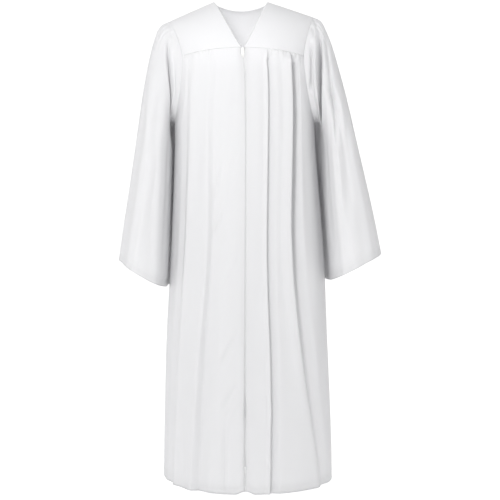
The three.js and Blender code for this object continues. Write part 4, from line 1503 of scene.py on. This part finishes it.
@dataclass(frozen=True)
class Edge:
    """A line on a surface and the way into the cloth from it.

    Attributes:
        surface: The surface.
        along: Gives shares across and down at shares of the line.
        inward: Small step of the two shares into the cloth.
        tube: Whether the surface is a sleeve, with its own axis.
    """

    surface: Surface
    along: Callable[[Array], tuple[Array, Array]]
    inward: tuple[float, float]
    tube: bool = False

    def frame(self, t: Array) -> tuple[Array, Array, Array]:
        """Gives points, directions into the cloth and directions out of the robe."""
        u, v = self.along(t)
        point = self.surface(u, v)
        into = self.surface(u + self.inward[0], v + self.inward[1]) - point
        into /= np.maximum(np.linalg.norm(into, axis=1, keepdims=True), 1e-9)
        line = np.gradient(point, axis=0)
        out = np.cross(line, into)
        out /= np.maximum(np.linalg.norm(out, axis=1, keepdims=True), 1e-9)
        if self.tube:
            away = point - point.mean(axis=0)
        else:
            away = np.stack([point[:, 0] - SECTION.centre(point[:, 2]), point[:, 1],
                             np.full(len(point), 100.0)], axis=-1)
        facing = np.sign((out * away).sum(axis=1, keepdims=True))
        return point, into, out * facing


@dataclass(frozen=True)
class TurnSizes:
    """Turned edge: a small roll round the edge and a flat turning inside."""

    roll: float = 0.6
    roll_rows: int = 6
    flat_rows: int = 3
    facing_past: float = 2.4
    facing_depth: float = 9.0


TURN = TurnSizes()


class EdgeFinisher:
    """Makes turned edges and rows of stitches.

    A stitch's length and width are in millimetres, and its seat is a share of the cloth's thickness.
    The facing swells over three quarters of a half turn.
    """

    STITCH_LENGTH = 2.3
    STITCH_WIDTH = 0.42
    STITCH_SEAT = 0.6
    STITCH_SAMPLES = 600
    FACING_ROWS = 8
    FACING_TURN = 0.75

    def __init__(self, maker: PieceMaker) -> None:
        """Keeps the piece maker.

        Args:
            maker: Builds pieces.
        """
        self.maker = maker

    def turning(self, name: str, edge: Edge, depth: float, columns: int) -> bpy.types.Object:
        """Turns an edge to the inside.

        Args:
            name: Name of the piece.
            edge: The edge.
            depth: Width of the turning in millimetres.
            columns: Grid spaces along it.

        Returns:
            The piece.
        """
        rows = TURN.roll_rows + TURN.flat_rows
        split = TURN.roll_rows / rows

        def surface(u: Array, v: Array) -> Array:
            """Gives points of the surface at shares across and down."""
            grid = np.linspace(0.0, 1.0, columns + 1)
            point, into, out = edge.frame(grid)
            index = np.round(u * columns).astype(int)
            angle = np.clip(v / split, 0.0, 1.0) * math.pi
            flat = np.clip((v - split) / (1.0 - split), 0.0, 1.0) * depth
            across = TURN.roll * (1.0 - np.sin(angle)) + flat
            height = TURN.roll * np.cos(angle)
            return point[index] + into[index] * across[:, None] + out[index] * height[:, None]

        mesh = self.maker.shell(name, surface, columns, rows, False, 1)
        return self.maker.finish(name, mesh, Finishes.CLOTH, Slot.CLOTH, Body.ROBE)

    def facing(self, name: str, edge: Edge, columns: int) -> bpy.types.Object:
        """Folds a facing back from an edge into the robe.

        Args:
            name: Name of the piece.
            edge: The edge.
            columns: Grid spaces along it.

        Returns:
            The piece.
        """

        def surface(u: Array, v: Array) -> Array:
            """Gives points of the surface at shares across and down."""
            point, into, out = edge.frame(np.linspace(0.0, 1.0, columns + 1))
            index = np.round(u * columns).astype(int)
            past = TURN.facing_past * np.sin(v * math.pi * self.FACING_TURN)
            behind = TURN.facing_depth * v
            return point[index] - into[index] * past[:, None] - out[index] * behind[:, None]

        mesh = self.maker.shell(name, surface, columns, self.FACING_ROWS, False, 1)
        return self.maker.finish(name, mesh, Finishes.CLOTH, Slot.CLOTH, Body.ROBE)

    def stitches(self, name: str, edge: Edge, inset: float, pitch: float) -> bpy.types.Object:
        """Sews a row of stitches along an edge.

        Args:
            name: Name of the piece.
            edge: The edge.
            inset: Distance of the row from it in millimetres.
            pitch: Distance between stitches.

        Returns:
            The piece.
        """
        point, into, out = edge.frame(np.linspace(0.0, 1.0, self.STITCH_SAMPLES))
        line = point + into * inset
        length = np.concatenate([[0.0], np.cumsum(np.linalg.norm(np.diff(line, axis=0), axis=1))])
        places = np.arange(pitch, length[-1] - pitch, pitch)
        form = bmesh.new()
        for place in places:
            at = Vector([np.interp(place, length, line[:, axis]) for axis in range(3)])
            ahead = Vector([np.interp(place + 1.0, length, line[:, axis]) for axis in range(3)])
            normal = Vector([np.interp(place, length, out[:, axis]) for axis in range(3)]).normalized()
            run = (ahead - at).normalized()
            side = normal.cross(run).normalized()
            turn = Matrix((run, side, normal)).transposed().to_4x4()
            size = Matrix.Diagonal((self.STITCH_LENGTH / 2, *[self.STITCH_WIDTH / 2] * 2, 1.0))
            seat = at + normal * ROBE.cloth * self.STITCH_SEAT
            where = Matrix.Scale(MM, 4) @ Matrix.Translation(seat) @ turn @ size
            bmesh.ops.create_icosphere(form, subdivisions=1, radius=1.0, matrix=where)
        mesh = bpy.data.meshes.new(name)
        form.to_mesh(mesh)
        form.free()
        return self.maker.finish(name, mesh, Finishes.THREAD, Slot.CLOTH, Body.ROBE)


class Cloth:
    """All the cloth of the robe.

    The necks and the front's turning are shares of their piece, and the rest is in millimetres. A row of
    stitches has its distance from the seam, then its pitch.
    """

    NECK_END = 0.985
    NECK_COLUMNS = 90
    NECK_TURN_UP = 10.0
    BACK_NECK = (0.34, 0.66)
    SEAM_ROW = (3.0, 3.2)
    HEM_PITCH = 3.4
    FRONT_SPAN = (0.012, 0.995)
    FRONT_TURN_UP = 11.0

    def __init__(self, maker: PieceMaker) -> None:
        """Keeps the piece maker.

        Args:
            maker: Builds pieces.
        """
        self.maker = maker
        self.panels = Panels()
        self.yoke = Yoke()
        self.sleeves = Sleeves()

    def build(self) -> None:
        """Builds every piece of cloth, thickens it and turns and sews its edges."""
        for piece in [*self.yoke.pieces(), *self.panels.pieces(), *self.sleeves.pieces()]:
            mesh = self.maker.shell(piece.node, piece.surface, piece.columns, piece.rows, piece.closed,
                                    piece.outward)
            made = self.maker.finish(f"cloth_{piece.node}", mesh, Finishes.CLOTH, Slot.CLOTH, Body.ROBE,
                                     [piece.node])
            self.maker.thicken(made, ROBE.cloth)
            extras = self.edges(piece)
            area = sum(polygon.area for polygon in mesh.polygons)
            LOG.info("%s: %d faces, %.4f square metres", piece.node, len(mesh.polygons), area)

    def edges(self, piece: ClothPiece) -> list[bpy.types.Object]:
        """Turns and sews the edges of a piece.

        Args:
            piece: The piece of cloth.

        Returns:
            Its turnings and rows of stitches.
        """
        node = piece.node
        finisher = EdgeFinisher(self.maker)
        surface = piece.surface
        if node.startswith("yoke_front"):
            neck_u = 1.0 if node.endswith("right") else 0.0
            step = -0.02 if neck_u else 0.02
            neck = Edge(surface, lambda t: (np.full_like(t, neck_u), t * self.NECK_END), (step, 0.0))
            facing = finisher.facing(f"neck_facing_{node}", neck, self.NECK_COLUMNS)
            seam = Edge(surface, lambda t: (t, np.full_like(t, 1.0)), (0.0, -0.01))
            return [
                facing,
                finisher.stitches(f"stitches_{node}", seam, *self.SEAM_ROW),
            ]
        if node == "yoke_back":
            neck = Edge(surface, lambda t: (lerp(*self.BACK_NECK, t), np.zeros_like(t)), (0.0, 0.02))
            seam = Edge(surface, lambda t: (t, np.full_like(t, 1.0)), (0.0, -0.01))
            return [
                finisher.turning("neck_turning_back", neck, self.NECK_TURN_UP, self.NECK_COLUMNS),
                finisher.stitches("stitches_yoke_back", seam, *self.SEAM_ROW),
            ]
        hem = Edge(surface, lambda t: (t, np.ones_like(t)), (0.0, -0.004), piece.closed)
        pieces = [
            finisher.turning(f"hem_turning_{node}", hem, HEM.turn_up, piece.columns),
            finisher.stitches(f"hem_stitches_{node}", hem, HEM.turn_up - 2.0, self.HEM_PITCH),
        ]
        if node.startswith("front"):
            front_u = 1.0 if node.endswith("right") else 0.0
            step = -0.01 if front_u else 0.01
            centre = Edge(
                surface, lambda t: (np.full_like(t, front_u), lerp(*self.FRONT_SPAN, t)), (step, 0.0)
            )
            pieces.append(finisher.turning(f"front_turning_{node}", centre, self.FRONT_TURN_UP, piece.rows))
            pieces.append(finisher.stitches(f"front_stitches_{node}", centre, CENTRE.stitch_inset, 3.2))
        return pieces


# ---------------------------------------------------------------- zip


@dataclass(frozen=True)
class ZipSizes:
    """Zip of a common 5 mm kind, in millimetres."""

    end: float = -930.0
    tape_half_gap: float = 0.8
    tape_width: float = 13.0
    tape: float = 0.6
    behind: float = 1.7
    tooth_pitch: float = 1.6
    tooth_width: float = 3.4
    tooth_height: float = 1.5


@dataclass(frozen=True)
class SliderSizes:
    """Slider and pull tab, in millimetres."""

    width: float = 7.0
    length: float = 11.0
    depth: float = 3.2
    top_z: float = -141.5
    plate: float = 1.0
    lug_width: float = 2.0
    lug_radius: float = 1.7
    lug_stand: float = 0.2
    pin_radius: float = 0.5
    pin_z: float = -4.0
    tab_width: float = 5.0
    tab_length: float = 16.0
    tab_thick: float = 1.3
    slot_floor: float = 2.4
    seat: float = 0.3


ZIP = ZipSizes()
SLIDER = SliderSizes()


class Zip:
    """The zip behind the fronts, with its slider and pull tab."""

    def __init__(self, maker: PieceMaker) -> None:
        """Works out how the slider leans.

        Args:
            maker: Builds pieces.
        """
        self.maker = maker
        z = np.array([SLIDER.top_z, SLIDER.top_z - SLIDER.length])
        face = SECTION.depth(np.full(2, -1.0), np.ones(2), np.zeros(2), z)
        lean = math.atan2(face[1] - face[0], SLIDER.length)
        at = Vector((float(SECTION.centre(z)[0]), face[0] + 0.8 + 0.4 - SLIDER.seat, SLIDER.top_z))
        self.place = Matrix.Scale(MM, 4) @ Matrix.Translation(at) @ Matrix.Rotation(lean, 4, "X")
        self.reach = SLIDER.depth + SLIDER.lug_radius + SLIDER.lug_stand

    def tape_surface(self, side: Side) -> Surface:
        """Gives the surface of one tape."""

        def surface(u: Array, v: Array) -> Array:
            """Gives points of the tape at shares across and down."""
            z = lerp(YOKE_SEAM.centre_z, ZIP.end, v)
            share = 1.0 - u if side is Side.RIGHT else u
            distance = ZIP.tape_half_gap + share * ZIP.tape_width
            ones = np.ones_like(u)
            y = SECTION.depth(-ones, ones * side.value, distance, z) + ZIP.behind
            return np.stack([SECTION.centre(z) + side.value * distance, y, z], axis=-1)

        return surface

    def tapes(self) -> None:
        """Builds the two tapes and their coils."""
        for side in Side:
            name = f"zip_tape_{side.name.lower()}"
            mesh = self.maker.shell(name, self.tape_surface(side), 8, 220, False, 1)
            tape = self.maker.finish(f"woven_{name}", mesh, Finishes.TAPE, Slot.ZIP_TAPE, Body.ROBE, [name])
            self.maker.thicken(tape, ZIP.tape)
            teeth = self.teeth(side)

    def teeth(self, side: Side) -> bpy.types.Object:
        """Builds the coil on one tape's inner edge."""
        form = bmesh.new()
        low, high = ZIP.end + 2.0, SLIDER.top_z - 1.0
        offset = 0.0 if side is Side.RIGHT else ZIP.tooth_pitch / 2
        for z in np.arange(low + offset, high, ZIP.tooth_pitch):
            level = np.array([z])
            y = SECTION.depth(np.array([-1.0]), np.array([1.0]), np.zeros(1), level)[0] + ZIP.behind
            x = float(SECTION.centre(level)[0]) + side.value * ZIP.tooth_width * 0.32
            size = Matrix.Diagonal((ZIP.tooth_width / 2, ZIP.tooth_height / 2, ZIP.tooth_pitch * 0.36, 1.0))
            where = Matrix.Scale(MM, 4) @ Matrix.Translation((x, y, z)) @ size
            bmesh.ops.create_icosphere(form, subdivisions=1, radius=1.0, matrix=where)
        mesh = bpy.data.meshes.new("coil")
        form.to_mesh(mesh)
        form.free()
        return self.maker.finish(f"zip_coil_{side.name.lower()}", mesh, Finishes.COIL, Slot.ZIP_TAPE,
                                 Body.ROBE)

    @staticmethod
    def block(form: bmesh.types.BMesh, size: Sequence[float], at: Sequence[float], bevel: float) -> None:
        """Adds a bevelled block to a form.

        Args:
            form: The form.
            size: Its three sizes.
            at: Its centre.
            bevel: Width of the bevel.
        """
        where = Matrix.Translation(at) @ Matrix.Diagonal((*size, 1.0))
        made = bmesh.ops.create_cube(form, size=1.0, matrix=where)
        edges = {edge for vert in made["verts"] for edge in vert.link_edges}
        bmesh.ops.bevel(form, geom=list(edges), offset=bevel, offset_type="OFFSET", affect="EDGES",
                        segments=3, profile=0.5, material=-1)

    @staticmethod
    def bar(form: bmesh.types.BMesh, radius: float, length: float, at: Sequence[float]) -> None:
        """Adds a round bar along X to a form."""
        where = Matrix.Translation(at) @ Matrix.Rotation(QUARTER, 4, "Y")
        bmesh.ops.create_cone(form, cap_ends=True, segments=24, radius1=radius, radius2=radius, depth=length,
                              matrix=where)

    def slider(self) -> None:
        """Builds the slider: two plates joined at the top, with a lug for the tab."""
        form = bmesh.new()
        middle = -SLIDER.length / 2
        front = -SLIDER.depth + SLIDER.plate / 2
        self.block(form, (SLIDER.width, SLIDER.plate, SLIDER.length), (0, front, middle), 0.45)
        self.block(form, (SLIDER.width, SLIDER.plate, SLIDER.length), (0, -SLIDER.plate / 2, middle), 0.45)
        self.block(form, (2.2, SLIDER.depth - 0.4, 3.0), (0, -SLIDER.depth / 2, -1.6), 0.4)
        for side in (-1, 1):
            self.block(form, (0.8, 0.7, 7.0), (side * 3.0, -SLIDER.depth + 1.2, middle - 1.0), 0.2)
        lug_at = (0, -(SLIDER.depth + self.reach) / 2, SLIDER.pin_z)
        lug_size = (SLIDER.lug_width, self.reach - SLIDER.depth + 0.6, 2 * SLIDER.lug_radius)
        self.block(form, lug_size, lug_at, 0.3)
        self.bar(form, SLIDER.lug_radius, SLIDER.lug_width, (0, -self.reach, SLIDER.pin_z))
        self.close(form, "zip_slider", Body.ROBE)

    def tab(self) -> None:
        """Builds the pull tab: a plate forked round the lug, and its pin."""
        form = bmesh.new()
        slot = SLIDER.lug_width / 2 + 0.3
        prong = SLIDER.tab_width / 2 - slot
        top = SLIDER.tab_thick / 2
        at_y, at_z = -self.reach, SLIDER.pin_z
        low = SLIDER.tab_length - SLIDER.slot_floor
        self.block(form, (SLIDER.tab_width, SLIDER.tab_thick, low),
                   (0, at_y, at_z - SLIDER.slot_floor - low / 2), 0.5)
        for side in (-1, 1):
            height = SLIDER.slot_floor + top + 0.6
            self.block(form, (prong, SLIDER.tab_thick, height),
                       (side * (slot + prong / 2), at_y, at_z + top - height / 2), 0.3)
        self.block(form, (2.6, SLIDER.tab_thick + 0.5, 6.0), (0, at_y, at_z - 10.0), 0.25)
        self.bar(form, SLIDER.pin_radius, SLIDER.tab_width - 0.4, (0, at_y, at_z))
        self.close(form, "zip_pull_tab", Body.PULL_TAB)

    def close(self, form: bmesh.types.BMesh, node: str, body: Body) -> None:
        """Moves a form to its place and finishes it as an enamelled piece."""
        bmesh.ops.transform(form, matrix=self.place, verts=form.verts)
        mesh = bpy.data.meshes.new(node)
        form.to_mesh(mesh)
        form.free()
        piece = self.maker.finish(f"enamelled_{node}", mesh, Finishes.ENAMEL, Slot.ZIP_PULL, body, [node])
        normals = piece.modifiers.new("even faces", "WEIGHTED_NORMAL")
        normals.keep_sharp = True

    def build(self) -> None:
        """Builds the zip."""
        self.tapes()
        self.slider()
        self.tab()


# ---------------------------------------------------------------- stage


@dataclass(frozen=True)
class Lamp:
    """A soft disc of light.

    Attributes:
        name: What it lights.
        at: Its place in metres.
        aim: The place it faces.
        size: Its width in metres.
        power: Watts.
    """

    name: str
    at: tuple[float, float, float]
    aim: tuple[float, float, float]
    size: float
    power: float


class Stage:
    """Plain pale floor, soft light and the camera."""

    FLOOR_Z = -1.42
    FLOOR_SIZE = 30.0
    CAMERA_AT = (0.0109, -3.2, -0.676)
    LENS = 84.2
    # Directions and how strong the light from each is. It is brightest behind the robe.
    SURROUND = (
        ((0.0, 1.0, 0.0), 1.05),
        ((0.0, -1.0, 0.0), 0.44),
        ((-1.0, 0.0, 0.0), 0.6),
        ((1.0, 0.0, 0.0), 0.6),
        ((0.0, 0.0, 1.0), 0.32),
    )
    # Light that the floor gives off, so that it stays as pale as what surrounds it.
    FLOOR_GLOW = 0.38
    LAMPS = (
        Lamp("upper front", (-0.55, -1.9, 0.34), (0.0, 0.0, -0.1), 0.5, 23.5),
        Lamp("neck", (0.0, 0.0, -0.25), (0.0, 0.1, -0.02), 0.12, 0.24),
    )

    def floor(self) -> None:
        """Builds the plain pale floor."""
        form = bmesh.new()
        bmesh.ops.create_grid(form, x_segments=2, y_segments=2, size=self.FLOOR_SIZE)
        bmesh.ops.translate(form, verts=form.verts, vec=(0.0, 0.0, self.FLOOR_Z))
        mesh = bpy.data.meshes.new("floor")
        form.to_mesh(mesh)
        form.free()
        floor = bpy.data.objects.new("floor", mesh)
        bpy.context.scene.collection.objects.link(floor)
        material = bpy.data.materials.new("pale floor")
        material.use_nodes = True
        shade = material.node_tree.nodes["Principled BSDF"]
        shade.inputs["Base Color"].default_value = srgb("FBFBFB")
        shade.inputs["Roughness"].default_value = 1.0
        shade.inputs["Specular IOR Level"].default_value = 0.0
        shade.inputs["Emission Color"].default_value = srgb("FFFFFF")
        shade.inputs["Emission Strength"].default_value = self.FLOOR_GLOW
        mesh.materials.append(material)

    @staticmethod
    def lamp(lamp: Lamp) -> None:
        """Adds a disc of light that isn't itself seen.

        Args:
            lamp: The lamp.
        """
        data = bpy.data.lights.new(lamp.name, "AREA")
        data.shape = "DISK"
        data.size = lamp.size
        data.energy = lamp.power
        made = bpy.data.objects.new(lamp.name, data)
        bpy.context.scene.collection.objects.link(made)
        made.location = lamp.at
        made.visible_camera = False
        towards = Vector(lamp.aim) - Vector(lamp.at)
        made.rotation_euler = towards.to_track_quat("-Z", "Y").to_euler()

    def surround(self) -> None:
        """Surrounds the robe with pale light that differs with direction."""
        world = bpy.data.worlds.new("surround")
        world.use_nodes = True
        tree = world.node_tree
        shade = tree.nodes["Background"]
        where = tree.nodes.new("ShaderNodeTexCoord").outputs["Generated"]
        total = None
        for axis, strength in self.SURROUND:
            facing = add_node(tree, "ShaderNodeVectorMath", {1: axis}, {0: where}, operation="DOT_PRODUCT")
            half = add_node(tree, "ShaderNodeMath", {1: 0.0}, {0: facing.outputs["Value"]},
                            operation="MAXIMUM")
            links = {0: half.outputs["Value"]}
            if total:
                links[2] = total
            part = add_node(tree, "ShaderNodeMath", {1: strength, 2: 0.0}, links, operation="MULTIPLY_ADD")
            total = part.outputs["Value"]
        tree.links.new(total, shade.inputs["Strength"])
        shade.inputs["Color"].default_value = srgb("FFFFFF")
        bpy.context.scene.world = world

    def lights(self) -> None:
        """Lights the robe softly from its front, more from the upper left."""
        for lamp in self.LAMPS:
            self.lamp(lamp)
        bpy.context.scene.view_settings.view_transform = "Standard"

    def camera(self) -> None:
        """Sets the camera level with the robe's middle."""
        data = bpy.data.cameras.new("camera")
        data.lens = self.LENS
        data.sensor_width = 36.0
        camera = bpy.data.objects.new("camera", data)
        camera.location = self.CAMERA_AT
        camera.rotation_euler = (QUARTER, 0.0, 0.0)
        bpy.context.scene.collection.objects.link(camera)
        bpy.context.scene.camera = camera

    def build(self) -> None:
        """Builds the stage."""
        self.floor()
        self.surround()
        self.lights()
        self.camera()


def main() -> None:
    """Builds the robe and its stage."""
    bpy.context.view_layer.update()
    maker = PieceMaker(MaterialMaker())
    LOG.info("cloth")
    Cloth(maker).build()
    LOG.info("zip")
    Zip(maker).build()
    LOG.info("stage")
    Stage().build()


if __name__ == "__main__":
    main()
